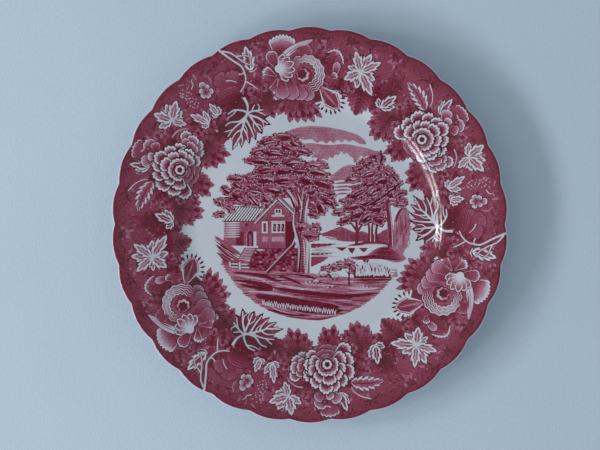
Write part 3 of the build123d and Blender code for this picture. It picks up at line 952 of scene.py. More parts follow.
def clumps(art, rows, bodies, cores):
    """Clumps from (x, y, long, high, turn) rows, in tones picked by chance."""
    for row in rows:
        clump(art, *row, body=art.rng.choice(bodies), core=art.rng.choice(cores))


def foliage(art, outline, tone, marks):
    """A mass of leaves behind the clumps: ragged edge, dark dabs and pale dabs."""
    line = curve(np.array(outline), 4, closed=True)
    rough = np.array([p + (art.rng.uniform(-0.7, 0.7), art.rng.uniform(-0.7, 0.7)) for p in line])
    art.fill(rough, tone)
    low, high = line.min(axis=0), line.max(axis=0)
    for _ in range(marks):
        y = art.rng.uniform(low[1], high[1])
        run = spans(line, y)
        if not run:
            continue
        a, b = art.rng.choice(run)
        x = art.rng.uniform(a, b)
        size = art.rng.uniform(1.2, 3.4)
        lean = art.rng.uniform(-1.2, 1.2)
        art.swell(((x - size, y - lean * 0.5), (x, y + 0.3),
                   (x + size, y + lean * 0.5)), art.rng.uniform(0.6, 1.4),
                  art.rng.choice((DARK, DARK, DEEP, LIGHT, PALE, BARE + 0.05, BLACK - 0.06)))


def spans(outline, y):
    """Stretches of a horizontal line inside an outline."""
    hits = []
    for a, b in zip(outline, np.roll(outline, -1, axis=0)):
        if (a[1] > y) != (b[1] > y):
            hits.append(a[0] + (y - a[1]) * (b[0] - a[0]) / (b[1] - a[1]))
    hits.sort()
    return list(zip(hits[::2], hits[1::2]))


def hatch(art, outline, y, inset, bow, drop, width, tone):
    """An engraved line across an outline, where there is room, bowed in the middle."""
    for a, b in spans(outline, y):
        if b - a > 1 + 2 * inset:
            art.swell(((a + inset, y), ((a + b) / 2, y + bow), (b - inset, y - drop)), width, tone)


def sky(art):
    """Clouds, and their lines over the far water."""
    clouds = (
        ((-14.8, 59.8), (-9.9, 62.1), (-0.9, 63.6), (8.1, 63.4), (17, 62.1), (26, 59.8), (32.3, 57.2),
         (35.9, 54), (35.9, 51.8), (31.4, 52.6), (28, 54.6), (25.1, 53.4), (23, 55), (20.6, 53.1),
         (18, 54.8), (15.6, 52.6), (13.4, 54.2), (10.8, 52.4), (8.1, 54), (4.5, 53), (1, 55.2), (-4, 54.8),
         (-8.1, 56.4), (-13.5, 56.3), (-9.9, 58.5)),
        ((-5.4, 51.8), (0.9, 52.8), (8.1, 51.8), (15.2, 51.6), (22.4, 52.2), (29.6, 51), (36.8, 49.5),
         (42.1, 47.8), (46.6, 46.8), (47.5, 43.7), (43.9, 44.9), (40, 43), (37.7, 44.6), (35, 43.4),
         (33.2, 44.6), (30.5, 41), (28.7, 40.1), (27.8, 43.2), (26, 44), (24.4, 46.2), (22, 45.6),
         (20.6, 47.3), (18.6, 45), (16.6, 45.4), (15.2, 43), (12.8, 43.6), (11.6, 41.4), (9, 42.8),
         (7, 41.6), (4.5, 43.2), (0.9, 43.4), (3.2, 46.4), (-0.9, 49.1)),
        ((12.5, 30), (17, 33.8), (21.5, 37.4), (26.9, 38.7), (30.5, 37.9), (30.2, 34.7), (26, 32),
         (24.2, 29.3), (19.7, 28.8)),
    )
    for cloud in clouds:
        line = art.blob(cloud, 3, LIGHT)
        low, high = line[:, 1].min(), line[:, 1].max()
        for k in range(1, int(high - low)):
            hatch(art, line, low + k, 0.5, 0.2, 0, 0.34, MID - 0.02)
    for x0, x1, y in ((15.2, 29.6, 26.8), (16, 28.6, 24.4), (14.8, 27.4, 22.2), (17, 25.2, 19.8),
                      (-12, -2, 57.6), (12, 20, 28.6)):
        art.swell(((x0, y - 0.3), ((x0 + x1) / 2, y + 0.3), (x1, y + 0.2)), 1.3, LIGHT + 0.1)


def blocks(art, *rows):
    """Upright rectangles, each from two opposite corners and a tone."""
    for x0, y0, x1, y1, tone in rows:
        art.fill(((x0, y0), (x1, y0), (x1, y1), (x0, y1)), tone)


def far_shore(art):
    """Hills, the wooded bank, the water and the near bank."""
    hill = art.blob(((7, -6.2), (11, -4.6), (15.4, -2.9), (19.7, -1.4), (24.2, -2.8), (29.6, -5),
                     (34, -4.2), (38.6, -5.8), (44, -6), (48, -3.6), (53, -2.6), (56, -8), (56, -12.4),
                     (40, -11), (26, -11), (17, -10), (11.6, -8.6)), 4, MID)
    for k in range(9):
        hatch(art, hill, -4.4 - 0.7 * k, 1, -0.2, 0, 0.32, DEEP + 0.04)
    art.swell(((9, -7.4), (14, -8.2), (18, -9.2)), 0.9, PALE)
    art.swell(((11, -8.8), (15, -9.6), (19, -10)), 0.7, PALE)
    bank = ((54.6, 3), (57.6, 8.6), (60.6, 11.6), (63.6, 8.6), (65, 1.5), (64.4, -7.4), (62, -16),
            (58, -20.6), (53.4, -14), (53.6, -6))
    line = curve(np.array(bank), 6, closed=True)
    art.fill([p + (art.rng.uniform(-0.3, 0.9), art.rng.uniform(-0.6, 0.6)) for p in line], LIGHT + 0.04)
    for k in range(30):
        x = 54.4 + 0.32 * k
        foot = art.rng.uniform(-16, -2)
        art.swell(((x, foot), (x + 0.8, foot + 5), (x + 0.2, foot + art.rng.uniform(8, 13))), 0.55,
                  art.rng.choice((MID, LIGHT - 0.06, MID + 0.06)))
    # water, with the far shore upside down in it
    for a, b, y, drop in ((17, 24.2, -14.6, 2.4), (24.6, 29.6, -15, 3.6), (31.8, 37.8, -15, 2.8)):
        art.fill(((a, y), (b, y), ((a + b) / 2 + 0.6, y - drop),
                  ((a + b) / 2 - 0.8, y - drop * 0.8)), DEEP + 0.06)
    for x0, x1, y, drop, tone in ((0.9, 16.6, -12.4, 2.4, DEEP), (0.9, 14, -18.6, 0.9, DARK),
                                  (0.9, 11.8, -21, 6, MID + 0.06)):
        n = 9
        top = [(x0 + (x1 - x0) * k / n, y + 0.35 * (k % 2)) for k in range(n + 1)]
        low = [(x0 + (x1 - x0) * k / n,
                y - drop * (1 - k / n) ** 0.7 - 0.45 * (k % 2)) for k in range(n + 1)]
        art.fill(top + low[::-1], tone)
    for k in range(9):
        y = -13 - 0.95 * k
        art.swell(((1, y), (6, y - 0.1), (9 + 5 * ((k * 7) % 3), y)), 0.34, MID)
    # near bank of the water
    shore = art.blob(((25.6, -21.2), (31.4, -20.4), (37, -19.6), (41, -16.6), (46, -14.4), (52, -14),
                      (56.6, -16.4), (61, -19.8), (62, -22.4), (56, -24.4), (46, -22.2), (36, -22.6),
                      (29.6, -22.6)), 4, LIGHT + 0.06)
    for k in range(9):
        hatch(art, shore, -15.6 - 0.85 * k, 1, 0.4, 0.4, 0.9, DEEP if k % 3 else DARK)
    art.swell(((26, -21.6), (36, -21.2), (48, -21.8), (58, -23.2)), 1.3, DARK)
    art.swell(((24, -13.6), (32, -12.6), (40, -11.2), (47, -11.8), (53, -13.8)), 2.2, DEEP)
    art.swell(((34, -12.8), (40, -12.6), (47, -13)), 0.6, PALE)
    art.fill(((34, -22.4), (38.6, -22.4), (36.4, -27)), DEEP + 0.04)


def cottage(art):
    """The cottage: lean-to, gabled house, chimney and stone base."""
    # lean-to with a boarded roof
    blocks(art, (-55.6, 2.4, -32, -13.6, MID - 0.04), (-47.4, -4.6, -42.6, -13.4, DEEP + 0.06))
    for k in range(7):
        y = 1.2 - 1.5 * k
        art.swell(((-55.4, y), (-50, y), (-44.4, y + 0.1)), 0.95, BARE + 0.03)
    art.stroke(((-55.4, 1.6), (-55.6, -8.6)), 0.9, BARE + 0.04, end=0.9)
    for k in range(5):
        art.swell(((-50, -9 - k), (-44, -9.2 - k)), 0.4, LIGHT)
    roof = np.array(((-56.8, 2), (-49.2, 11.8), (-29.6, 11.8), (-36, 2)))
    art.fill(roof, BLACK - 0.04)
    boards = 11
    for k in range(boards):
        t = (k + 0.5) / boards
        high = roof[1] + (roof[2] - roof[1]) * t - (0.1, 0.5)
        low = roof[0] + (roof[3] - roof[0]) * t + (0.1, 0.5)
        art.stroke((high, low), 0.86, BARE, end=1)
    art.dot((-40.8, 0), 1.9, DARK, 9)
    # doorway, porch and steps
    arch = [(-40.4, -14), (-40.4, -6.4), (-39.8, -4.6), (-38.4, -3.8), (-37, -4.6), (-36.4, -6.4),
            (-36.4, -14)]
    art.fill(np.array(arch) + (-0.5, 0.5), LIGHT)
    art.fill(arch, DARK)
    blocks(art, (-39.2, -6, -37.4, -14, MID), (-36.2, -4.4, -34.4, -14.4, BARE + 0.03))
    # the gabled house
    blocks(art, (-33.4, 2.6, -9.6, -15.4, MID - 0.04), (-15.6, 5.4, -9.6, -15.4, DARK))
    art.fill(((-32.6, 2.2), (-20.2, 14.6), (-11.4, 6.4), (-11.4, 2.2)), MID - 0.02)
    for k in range(7):
        y = 3.2 + 1.4 * k
        art.swell(((-31 + 1.3 * k, y), (-20.2, y), (-12.4 - 0.9 * k, y)), 0.42, DEEP)
    for side, foot in ((-1, (-35.6, 1.4)), (1, (-9, 6.4))):
        apex = np.array((-20.2, 17.4))
        foot = np.array(foot)
        drop = np.array((0, -1))
        art.stroke((apex, foot), 3.4, DARK, end=0.95)
        art.stroke((apex + 0.5 * drop, foot + 0.5 * drop), 1, BARE + 0.05, end=0.95)
        art.stroke((apex - 1.1 * drop, foot - 1.1 * drop), 0.6, LIGHT, end=0.95)
        for k in range(9):
            t = (k + 0.5) / 9
            p = apex + (foot - apex) * t
            art.swell((p + (0, 1.6), p + (side * 0.3, -0.4)), 0.5, PALE)
    blocks(art, (-22.6, 10.2, -18, 6.4, BARE + 0.05), (-21.8, 9.6, -18.8, 7.6, DARK))
    art.stroke(((-20.3, 9.8), (-20.3, 7)), 0.5, BARE, end=1)
    blocks(art, (-24.6, 6.2, -16.2, 5.2, BARE + 0.05), (-24.2, 5, -16.8, 4.2, MID))
    # the house's windows
    blocks(art, (-31.4, 2.6, -26.6, -6, DARK), (-31, 2.2, -27, -5.6, BARE + 0.03),
           (-29.9, 1, -28.1, -4.6, DEEP), (-25, 2.4, -15.8, 1.6, BARE + 0.05),
           (-24.6, 1.4, -16, -5.4, BARE + 0.03))
    for x in (-23.6, -20.8, -18.2):
        blocks(art, (x, 0.6, x + 1.9, -4.4, DARK))
        art.stroke(((x + 0.2, -0.2), (x + 1.5, -3.6)), 0.4, PALE)
    for x0, x1 in ((-24.4, -16.4), (-30.6, -27)):
        blocks(art, (x0, -7.8, x1, -10.8, LIGHT - 0.06))
        for k in range(3):
            art.swell(((x0, -8.4 - k), (x1, -8.5 - k)), 0.32, MID)
    for k in range(5):
        art.swell(((-33, -11.8 - 0.8 * k), (-24, -11.9 - 0.8 * k), (-15.8, -11.8 - 0.8 * k)), 0.36, DEEP)
    # chimney
    blocks(art, (-31.2, 19.6, -27, 10.4, DARK), (-30.6, 19, -28.8, 10.8, LIGHT),
           (-31.8, 20.4, -26.4, 19, MID))
    # stone base
    blocks(art, (-38.6, -15.2, -5.6, -31, DEEP + 0.04))
    for row in range(10):
        y = -16 - 1.5 * row
        x = -38 + 0.9 * (row % 2)
        while x < -6.6:
            wide = art.rng.uniform(1.4, 2.9)
            tone = art.rng.choice((DARK, DARK, DEEP, MID, MID, LIGHT, BLACK))
            art.blob(((x, y), (x + wide - 0.35, y + 0.1), (x + wide - 0.3, y - 1.1), (x + 0.1, y - 1.15)),
                     2, tone)
            x += wide
    art.swell(((-34.6, -16), (-32, -16.4), (-29.8, -16)), 0.9, BARE)
    art.fill(((-42, -14.8), (-34.2, -14.8), (-38, -22.6), (-46.6, -22.6)), DEEP)
    for k in range(8):
        t = k / 7
        y = -15.2 - 7 * t
        art.stroke(((-41.6 - 4.4 * t, y), (-34.8 - 3.4 * t, y + 0.2)), 0.55, PALE, end=0.8)


def garden(art):
    """Bank and fence left of the cottage, and the beam that leans on the tree."""
    for x0, y0, x1, y1, w, tone in (
        (-61.6, -7, -43.4, -20, 3.4, MID), (-61, -12.6, -44.6, -23.4, 2.8, DEEP),
        (-60.4, -17.6, -46, -25.6, 2.6, MID), (-61.8, -9.6, -48, -18.6, 1, DARK),
        (-58.6, -10.8, -44.4, -21.6, 0.9, DARK), (-60, -15.4, -50, -22.6, 0.8, DARK),
        (-58, -20.4, -50, -25, 1.2, DARK), (-57, -22.8, -50, -27, 2, MID),
        (-62, -8.2, -52, -13, 0.7, LIGHT), (-57.6, -14, -46, -22.6, 0.7, LIGHT),
    ):
        art.swell(((x0, y0), ((x0 + x1) / 2, (y0 + y1) / 2 - 1), (x1, y1)), w, tone)
    art.blob(((-55, -24), (-46, -22.6), (-37, -24.4), (-34.6, -30), (-46, -30.6), (-53.6, -29.6)),
             3, MID)
    for y in (-25.6, -27.6):
        rail = ((-52.4, y + 0.4), (-36.6, y - 0.2))
        art.stroke(rail, 1.7, DARK, end=1)
        art.stroke(rail, 0.95, BARE + 0.04, end=1)
    for x in (-51.6, -45.2, -38):
        art.stroke(((x, -23.8), (x + 0.2, -30)), 1.9, DARK, end=1)
        art.stroke(((x, -24), (x + 0.2, -29.8)), 1.2, BARE + 0.04, end=1)
    art.fill(((-41, -26), (-34, -31.6), (-30, -31.6), (-38, -25)), DEEP)
    art.stroke(((-37.4, -25.4), (-33.4, -29.6), (-29.6, -31.4)), 0.8, PALE)
    beam = np.array(((-9.4, -11.4), (-17.6, -20), (-27.6, -31)))
    art.stroke(beam, 3, DARK, end=0.8)
    art.stroke(beam + (-0.7, 0.5), 0.8, PALE, end=0.8)
    art.stroke(beam + (0.5, -0.4), 0.5, LIGHT, end=0.8)


def beam_end(art):
    """The end of the leaning beam, in front of the trunk."""
    beam = np.array(((-10.6, -13.4), (-18.6, -21.6), (-27.6, -31)))
    art.stroke(beam, 2.6, DARK, end=0.8)
    art.stroke(beam + (-0.6, 0.5), 0.8, PALE, end=0.8)


def great_tree(art):
    """The great tree in front of the house: masses of leaves, trunks, and clumps over them."""
    for outline, tone, marks in (
        (((-36.8, 46.5), (-35.5, 50.4), (-27, 51), (-31, 55.7), (-20.4, 59), (-11.3, 55), (-7.4, 50.4),
          (-0.2, 48.5), (-2.1, 45.2), (-11.3, 43.2), (-20.4, 42.6), (-29.6, 43.9)), MID + 0.02, 64),
        (((-41.4, 41.9), (-29.6, 43.2), (-8.7, 43.2), (-0.8, 40.6), (9.7, 40.6), (11, 36), (1.8, 34),
          (13.6, 30.1), (14.9, 26.2), (-0.8, 24.9), (-11.3, 24.2), (-24.4, 24.9), (-38.8, 28.2),
          (-44, 30.8), (-38.8, 32.8), (-31, 33.4), (-32.3, 38), (-40.1, 39.3)), MID + 0.04, 140),
        (((-61, 15.1), (-57.8, 17.7), (-50.6, 18.4), (-57.1, 23.6), (-49.3, 24.2), (-51.9, 30.1),
          (-44, 32.1), (-24.4, 26.9), (-8.7, 25.6), (-7.4, 17.7), (-20.4, 17.7), (-29.6, 15.1),
          (-40.1, 12.5), (-49.3, 12.5), (-55.8, 11.8), (-59.8, 12.5)),
         MID, 100),
        (((-7.4, 26.9), (9.7, 25.6), (13.6, 20.3), (16.9, 13.8), (12.3, 12.5), (7, 13.8), (5.7, 7.2),
          (1.8, 4.6), (-0.8, 9.9), (-6.1, 15.1)), MID + 0.06, 56),
    ):
        foliage(art, outline, tone, marks)
    trunks = (
        (((-4.6, -31), (-4.2, -12), (-7.6, 1.5), (-7, 12), (-9.9, 24)), 8.2),
        (((-4, -8), (-3.4, 8), (-0.9, 23)), 4.6),
        (((-7, 8), (-11, 17), (-16, 23.6)), 4),
        (((-6, 10), (-5.8, 18), (-4.6, 26)), 3.4),
    )
    end = 0.3
    for points, width in trunks:
        art.stroke(points, width + 0.8, BLACK - 0.06, end=end)
    for points, width in trunks:
        art.stroke(points, width, MID, end=end)
        for aside, share, tone in ((-0.30, 0.26, BLACK - 0.06), (0.04, 0.14, DARK), (0.30, 0.24, PALE)):
            art.stroke(np.array(points) + (aside * width, 0), width * share, tone, end=end)
    for points, width in (
        (((-7.6, -30.6), (-7, -14), (-10.4, 0), (-9.4, 12)), 1),
        (((-3.6, -30), (-3.4, -16), (-4.6, -4)), 0.8), (((-1.6, -30.6), (-1.2, -14), (-2.4, -4)), 1.1),
        (((-6.4, 2), (-5.2, 12), (-7.6, 20)), 0.7), (((-3, -2), (-2.6, 8), (-1, 18)), 0.8),
        (((-8.6, 12), (-12, 19), (-15.4, 22.6)), 0.7), (((-8.4, -6), (-10.8, -12), (-12, -15)), 0.6),
    ):
        art.swell(points, 1.25 * width, BARE + 0.04)
    for k in range(26):
        y = -29 + 1.6 * k
        x = -4.6 - 2.4 * max(0, min(1, (y + 12) / 14))
        art.swell(((x - 3.6, y), (x, y + 0.5), (x + 3.4, y - 0.2)), 0.4, DARK)
    clumps(art, (
        (-26, 54, 7, 2.4, 12), (-9.9, 53, 6.4, 3, -25), (-16.2, 56.4, 6.5, 3, 0),
        (-32.3, 47.7, 6.5, 2.4, 18), (-13.5, 48.2, 6.4, 3, -35), (-4, 47.6, 5.4, 2.2, -8),
        (-21.5, 46.4, 9, 3.2, -8), (-31.4, 40.8, 10.5, 2.4, -8), (-20, 40.6, 7, 2.8, 0),
        (-11, 40.1, 8, 3, 5), (4.5, 38.9, 7, 2.4, 0), (-36.8, 31.1, 6.5, 2.8, 12),
        (-27.8, 35.2, 8, 3.2, 5), (-16.2, 34.7, 8, 3.4, 0), (-5, 35.4, 7, 3.2, 0),
        (5.8, 33.4, 6.5, 2.4, -10), (-47.6, 29.8, 5.5, 2.4, 5), (-46.7, 25.3, 4, 2.2, -30),
        (-26.9, 28.9, 8, 3.2, 0), (-15.3, 28.5, 8, 3.4, 0), (-2.7, 28.5, 5, 3.8, 0),
        (8.5, 26.2, 7, 3, -20), (-52, 21.3, 6, 2.4, -28), (-45.8, 17, 6, 2.4, -35),
        (-34.1, 22, 7, 2.8, -10), (-36.8, 15.8, 5.4, 2.4, -45), (-24.2, 22.6, 7, 3.2, -10),
        (9.9, 20.4, 6.5, 2.6, -8), (11.6, 15, 6.5, 2.6, -25), (7.2, 11, 4.5, 3, -60),
        (2.7, 6.9, 3.4, 2.2, 0), (-58.3, 15.2, 3.6, 1.8, 0), (-52.9, 11.6, 5, 2.2, -30),
        (-58.6, 6.9, 3.4, 1.7, 8), (-28.4, 16.4, 3.6, 2.4, -30), (1, 21, 3.6, 2.4, 10),
    ), (MID + 0.04, MID + 0.1, DEEP), (DARK, BLACK - 0.1, BLACK - 0.06))
    for x, y, long, high, turn in ((-4.5, -2, 4.2, 3.2, 0), (3.4, -2, 3.6, 2.8, 0),
                                   (0.6, -6.6, 5.6, 3.2, 0)):
        clump(art, x, y, long, high, turn)


def right_trees(art):
    """The trees on the far bank to the right."""
    mass = ((30.6, 38.7), (35.9, 42.6), (45, 45.9), (47.7, 38.7), (52.9, 36), (56.8, 26.9), (60.8, 17.7),
            (59.4, 11.2), (51.6, 12.5), (49, 7.2), (45, 4.6), (35.9, 2), (28, 2), (20.2, 0.7), (21.5, 4.6),
            (26.7, 8.5), (17.5, 7.9), (16.2, 9.9), (22.8, 12.5), (21.5, 15.7), (28, 21.6), (25.4, 24.2),
            (35.9, 26.9), (24.1, 28.8), (25.4, 32.1), (33.2, 34.7), (28, 36.7))
    foliage(art, mass, MID, 150)
    for points, width, end in (
        (((52.6, -14.8), (51.8, 0), (50.4, 16)), 3.8, 0.5),
        (((30.4, -13.4), (30.6, -4), (30, 4)), 1.6, 0.6),
        (((30.6, -5), (33.4, -0.6), (35.4, 3)), 1.1, 0.5), (((30.4, -4), (27.6, 0), (25.6, 2)), 1, 0.5),
        (((38.4, -11.4), (38.6, -4), (37.6, 3)), 1.3, 0.6),
        (((40.6, -11.4), (40.4, -2), (41.6, 4)), 1, 0.6),
        (((43.2, -11.6), (43, -4), (44.8, 4)), 1.2, 0.6), (((55.6, 2), (57.6, 8), (61, 12)), 1, 0.6),
    ):
        art.stroke(points, width + 0.6, DARK, end=end)
        art.stroke(points, width * 0.8, DEEP, end=end)
    art.stroke(((53.8, -14.2), (53, 0), (51.2, 14)), 0.8, PALE)
    art.stroke(((50.8, -12), (50.4, 2)), 0.6, LIGHT)
    for x in (39.4, 42):
        art.stroke(((x, -11), (x, 0)), 0.6, BARE + 0.05)
    clumps(art, (
        (45.3, 42, 5.2, 2.6, 80), (35.9, 39.8, 5.6, 2.4, 10), (31, 36, 4.2, 2, 20),
        (51.1, 33.8, 4.6, 3.4, -40),
        (43.6, 36.4, 4, 2.6, 30), (38.6, 32.9, 6, 3, 18), (28.7, 29.8, 5.6, 2, 5), (54.9, 30, 4, 2.4, -45),
        (46.6, 27.8, 5.6, 3.4, 20), (36.8, 26, 7, 2.6, 22), (52.9, 23.8, 7, 2.4, 30),
        (42.1, 21.4, 7, 2.8, 28),
        (31.4, 20.6, 7, 2.6, 28), (58, 20, 4, 2.8, 20), (59.2, 14.4, 3.8, 3, 0), (43.9, 15.8, 8, 2.4, 30),
        (35, 14.2, 6, 2.8, 25), (27.6, 11.2, 6, 2.4, 15), (22, 15.2, 2.4, 1.5, 0), (18.8, 8, 3.8, 1.7, 5),
        (42.1, 9.8, 6, 2.8, 10), (29.6, 6, 5, 2.6, 20), (22.6, 2.6, 4.6, 2, 20), (36.8, 4.2, 5, 3.2, 35),
        (44.8, 4, 4.4, 4, 0),
    ), (MID, MID + 0.08, MID + 0.12), (DARK, DARK + 0.06, BLACK - 0.06))
    art.swell(((34, 10.6), (46, 17), (58, 26.6)), 1.2, BLACK - 0.06)
    art.swell(((46, 30), (50, 25), (51, 17)), 0.9, DARK)


def meadow(art):
    """The ground in front, cut round at the picture's edge, with its furrows and tufts."""
    rim = [(63.4 * cos(radians(a)) + 1, 63.4 * sin(radians(a)) + 2) for a in range(204, 332, 3)]
    rim = [(x + (0.5 if k % 2 else -0.4) * (-1 if x > 0 else 1), y) for k, (x, y) in enumerate(rim)]
    top = [(57, -33.6), (46, -34), (28, -34.2), (10, -32.4), (-2, -31), (-20, -30.2), (-36, -29.8),
           (-50, -28.4)]
    land = np.array(rim + top)
    art.fill(land, LIGHT + 0.02)
    for k in range(70):  # the turf frays into streaks at its edge
        a = radians(206 + 126 * k / 70)
        p = np.array((63 * cos(a) + 1, 63 * sin(a) + 2))
        out = 1 if p[0] > 0 else -1
        away = art.rng.uniform(0.5, 2.4)
        art.swell((p + (-out * 4, 0.2), p, p + (out * away, 0.1)), art.rng.uniform(0.4, 0.9),
                  art.rng.choice((MID, LIGHT, MID)))
    for k in range(40):  # engraved lines of the turf
        y = -31.6 - 0.82 * k
        for a, b in spans(land, y):
            while a < b - 6:
                run = min(art.rng.uniform(9, 24), b - a)
                art.swell(((a + 0.6, y + 0.2), (a + run / 2, y - 0.3),
                           (a + run - 0.6, y)), art.rng.uniform(0.3, 0.8),
                          art.rng.choice((MID, MID, DEEP, PALE, DEEP + 0.06)))
                a += run
    for points, width, tone in (
        (((-51, -30.4), (-41, -31.6), (-30, -33), (-22, -36), (-17, -36)), 1.7, DARK),
        (((-22, -32.2), (-12, -35.6), (-4.6, -39)), 1.3, DARK),
        (((-50, -35.6), (-40.6, -36.8), (-31, -38.6), (-25, -41), (-28, -41.6), (-38, -40),
          (-46, -38.6)), 2.4, DARK),
        (((-26.8, -39.6), (-14, -42.4), (2, -44.4), (17, -46), (32, -45.6), (46, -43.8)), 2.2, DARK),
        (((-18, -43.4), (0, -46.4), (17, -47.6), (30, -47.4)), 0.9, DEEP),
        (((-36, -44.4), (-20, -47.2), (-4, -49.8), (14, -52.4), (20, -53.8)), 2.4, DARK),
        (((-28.6, -54.4), (-14, -57.6), (2, -58.8)), 1.6, DARK),
        (((-18, -52.8), (-2, -55.4), (16, -56.2)), 2.6, DARK),
        (((-6, -60.4), (6, -61), (17, -59)), 1.2, DEEP),
        (((30.4, -35.4), (44, -35.6), (54, -35.4)), 1, DARK),
        (((-12, -32), (0, -33.6), (5, -36)), 1.1, DARK),
        (((4, -36.8), (16, -38.6), (30, -39.4)), 0.7, DEEP),
    ):
        art.swell(points, 1.35 * width, tone)
    for points, width in (
        (((-47, -33.4), (-34, -34.6), (-26, -37.6)), 1), (((-22, -38.2), (-10, -40.8), (6, -42.6)), 1.2),
        (((-40, -42.4), (-24, -44.2), (-8, -46.6)), 0.9), (((24, -41), (36, -41.6), (46, -40.8)), 1.4),
        (((-30, -50.8), (-18, -56), (-6, -58.2)), 0.5),
    ):
        art.swell(points, 1.2 * width, PALE)
    art.swell(((-36, -45.4), (-24, -49), (-6, -52.8), (12, -55.2), (22, -55.6)), 6.6, DARK)
    for k in range(30):  # pale tufts before the dark hollow
        x = -30 + 1.6 * k
        y = -49 - 0.125 * (x + 29) - 0.8 * abs(sin(k * 1.9))
        for lean in (-0.8, 0.7):
            art.stroke(((x, y - 2.8), (x + lean * 0.4, y - 1),
                        (x + lean, y + art.rng.uniform(-0.4, 0.9))), 0.62,
                       BARE + 0.03, end=0.5, steps=2)
    for k in range(40):
        x = art.rng.uniform(-34, 34)
        y = -40 - 0.12 * x + art.rng.uniform(-3, 3)
        art.stroke(((x, y), (x + 0.2, y + 0.9)), 0.35, DEEP)


def sheep(art, x, y, size, way=1):
    """A grazing sheep."""
    p = np.array((x, y))
    for dx in (-1, -0.6, 0.7, 1.1):
        art.stroke((p + (dx * size, -0.4 * size), p + (dx * size, -1.5 * size)), 0.45 * size, DARK, end=0.7)
    art.fill(p + frill_circle(11, 0.2) * (1.75 * size, 1.1 * size), DARK)
    art.fill(p + frill_circle(11, 0.2) * (1.5 * size, 0.88 * size), BARE + 0.05)
    art.fill(p + (0.1 * size, -0.35 * size) + circle(10) * (1 * size, 0.32 * size), LIGHT)
    head = p + (way * 1.75 * size, -0.45 * size)
    art.fill(head + circle(9) * (0.55 * size, 0.45 * size), DARK)
    art.stroke((head, head + (way * 0.7 * size, -0.45 * size)), 0.6 * size, DARK, end=0.6)


def foreground(art):
    """Bushes, a sapling, reeds and sheep at the water's edge, and posts in the meadow."""
    for x, y, long, high in ((15.4, -27.4, 4, 2), (20.4, -25.8, 3, 2), (25, -25, 3.4, 2.4),
                             (28.6, -28.6, 2.6, 2.8),
                             (10.8, -28.6, 3.4, 1.8)):
        clump(art, x, y, long, high, 0, core=DEEP)
    art.stroke(((25.6, -39.6), (25.4, -33), (25.8, -27.6)), 1.3, DARK, end=0.6)
    art.stroke(((25.4, -33), (27.4, -29.6)), 0.7, DARK)
    art.stroke(((25.4, -32), (23, -29.2)), 0.7, DARK)
    tips = 30
    heights = [(5.4 + 4 * sin(pi * k / tips)) * (1 if k % 2 else 0.55) for k in range(tips)]
    bush = [(28.6 + 0.8 * k, -33.6 + height) for k, height in enumerate(heights)]
    art.fill(bush + [(52.6, -34.6), (28.6, -34.6)], DARK)
    for k in range(38):
        x = 30 + 0.58 * k
        tall = (4.6 + 4.6 * sin(pi * (k + 4) / 44)) * art.rng.uniform(0.75, 1.05)
        lean = art.rng.uniform(-3.2, 3.2)
        foot = -33.6 + art.rng.uniform(0, 1.6)
        art.stroke(((x, foot), (x + lean * 0.3, foot + tall * 0.6),
                    (x + lean, foot + tall)), 0.8, BARE + 0.03, end=0.4,
                   steps=2)
    sheep(art, 9, -31.4, 1.9)
    sheep(art, 16.4, -33.2, 1.6, -1)
    sheep(art, 4.2, -36.4, 1.3)
    for x, y in ((12, -41), (15, -40.4), (35, -40.6), (37.4, -41), (-2, -38), (0.6, -37.6)):
        art.stroke(((x - 0.6, y), (x - 0.9, y + 1.6)), 0.5, BARE + 0.05)
        art.stroke(((x, y), (x + 0.1, y + 2)), 0.5, BARE + 0.05)
        art.stroke(((x + 0.6, y), (x + 1, y + 1.4)), 0.5, DARK)


def landscape():
    """The country scene, in millimetres about its own middle."""
    art = Art(CENTRE_SEED)
    sky(art)
    far_shore(art)
    right_trees(art)
    garden(art)
    cottage(art)
    meadow(art)
    great_tree(art)
    beam_end(art)
    foreground(art)
    return art


# ---- Meshes ----

def turned(points, angle):
    """Plan points turned about the axis by an angle in degrees."""
    c, s = cos(radians(angle)), sin(radians(angle))
    return np.asarray(points, float) @ np.array(((c, s), (-s, c)))


def face_normals(x, y):
    """Upward unit normals of the face at plan points."""
    step = 0.05
    dx = (face_height(x + step, y) - face_height(x - step, y)) / (2 * step)
    dy = (face_height(x, y + step) - face_height(x, y - step)) / (2 * step)
    n = np.stack((-dx, -dy, np.ones_like(dx)), axis=1)
    return n / np.linalg.norm(n, axis=1, keepdims=True)


def new_object(name, vertices, faces, material):
    """A mesh object from points in millimetres that rides on the plate."""
    mesh = bpy.data.meshes.new(name)
    mesh.from_pydata((np.asarray(vertices) * MM).tolist(), [], faces)
    mesh.validate()
    mesh.materials.append(material)
    mesh.shade_smooth()
    obj = bpy.data.objects.new(name, mesh)
    bpy.context.scene.collection.objects.link(obj)
    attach(obj, "root")
    return obj


def inside(points, outline):
    """Which plan points lie inside an outline, which may cross itself."""
    x, y = points[:, :1], points[:, 1:]
    ax, ay = outline[:, 0], outline[:, 1]
    bx, by = np.roll(ax, -1), np.roll(ay, -1)
    side = (bx - ax) * (y - ay) - (x - ax) * (by - ay)
    rising = (ay <= y) & (by > y) & (side > 0)
    falling = (ay > y) & (by <= y) & (side < 0)
    return rising.sum(axis=1) != falling.sum(axis=1)


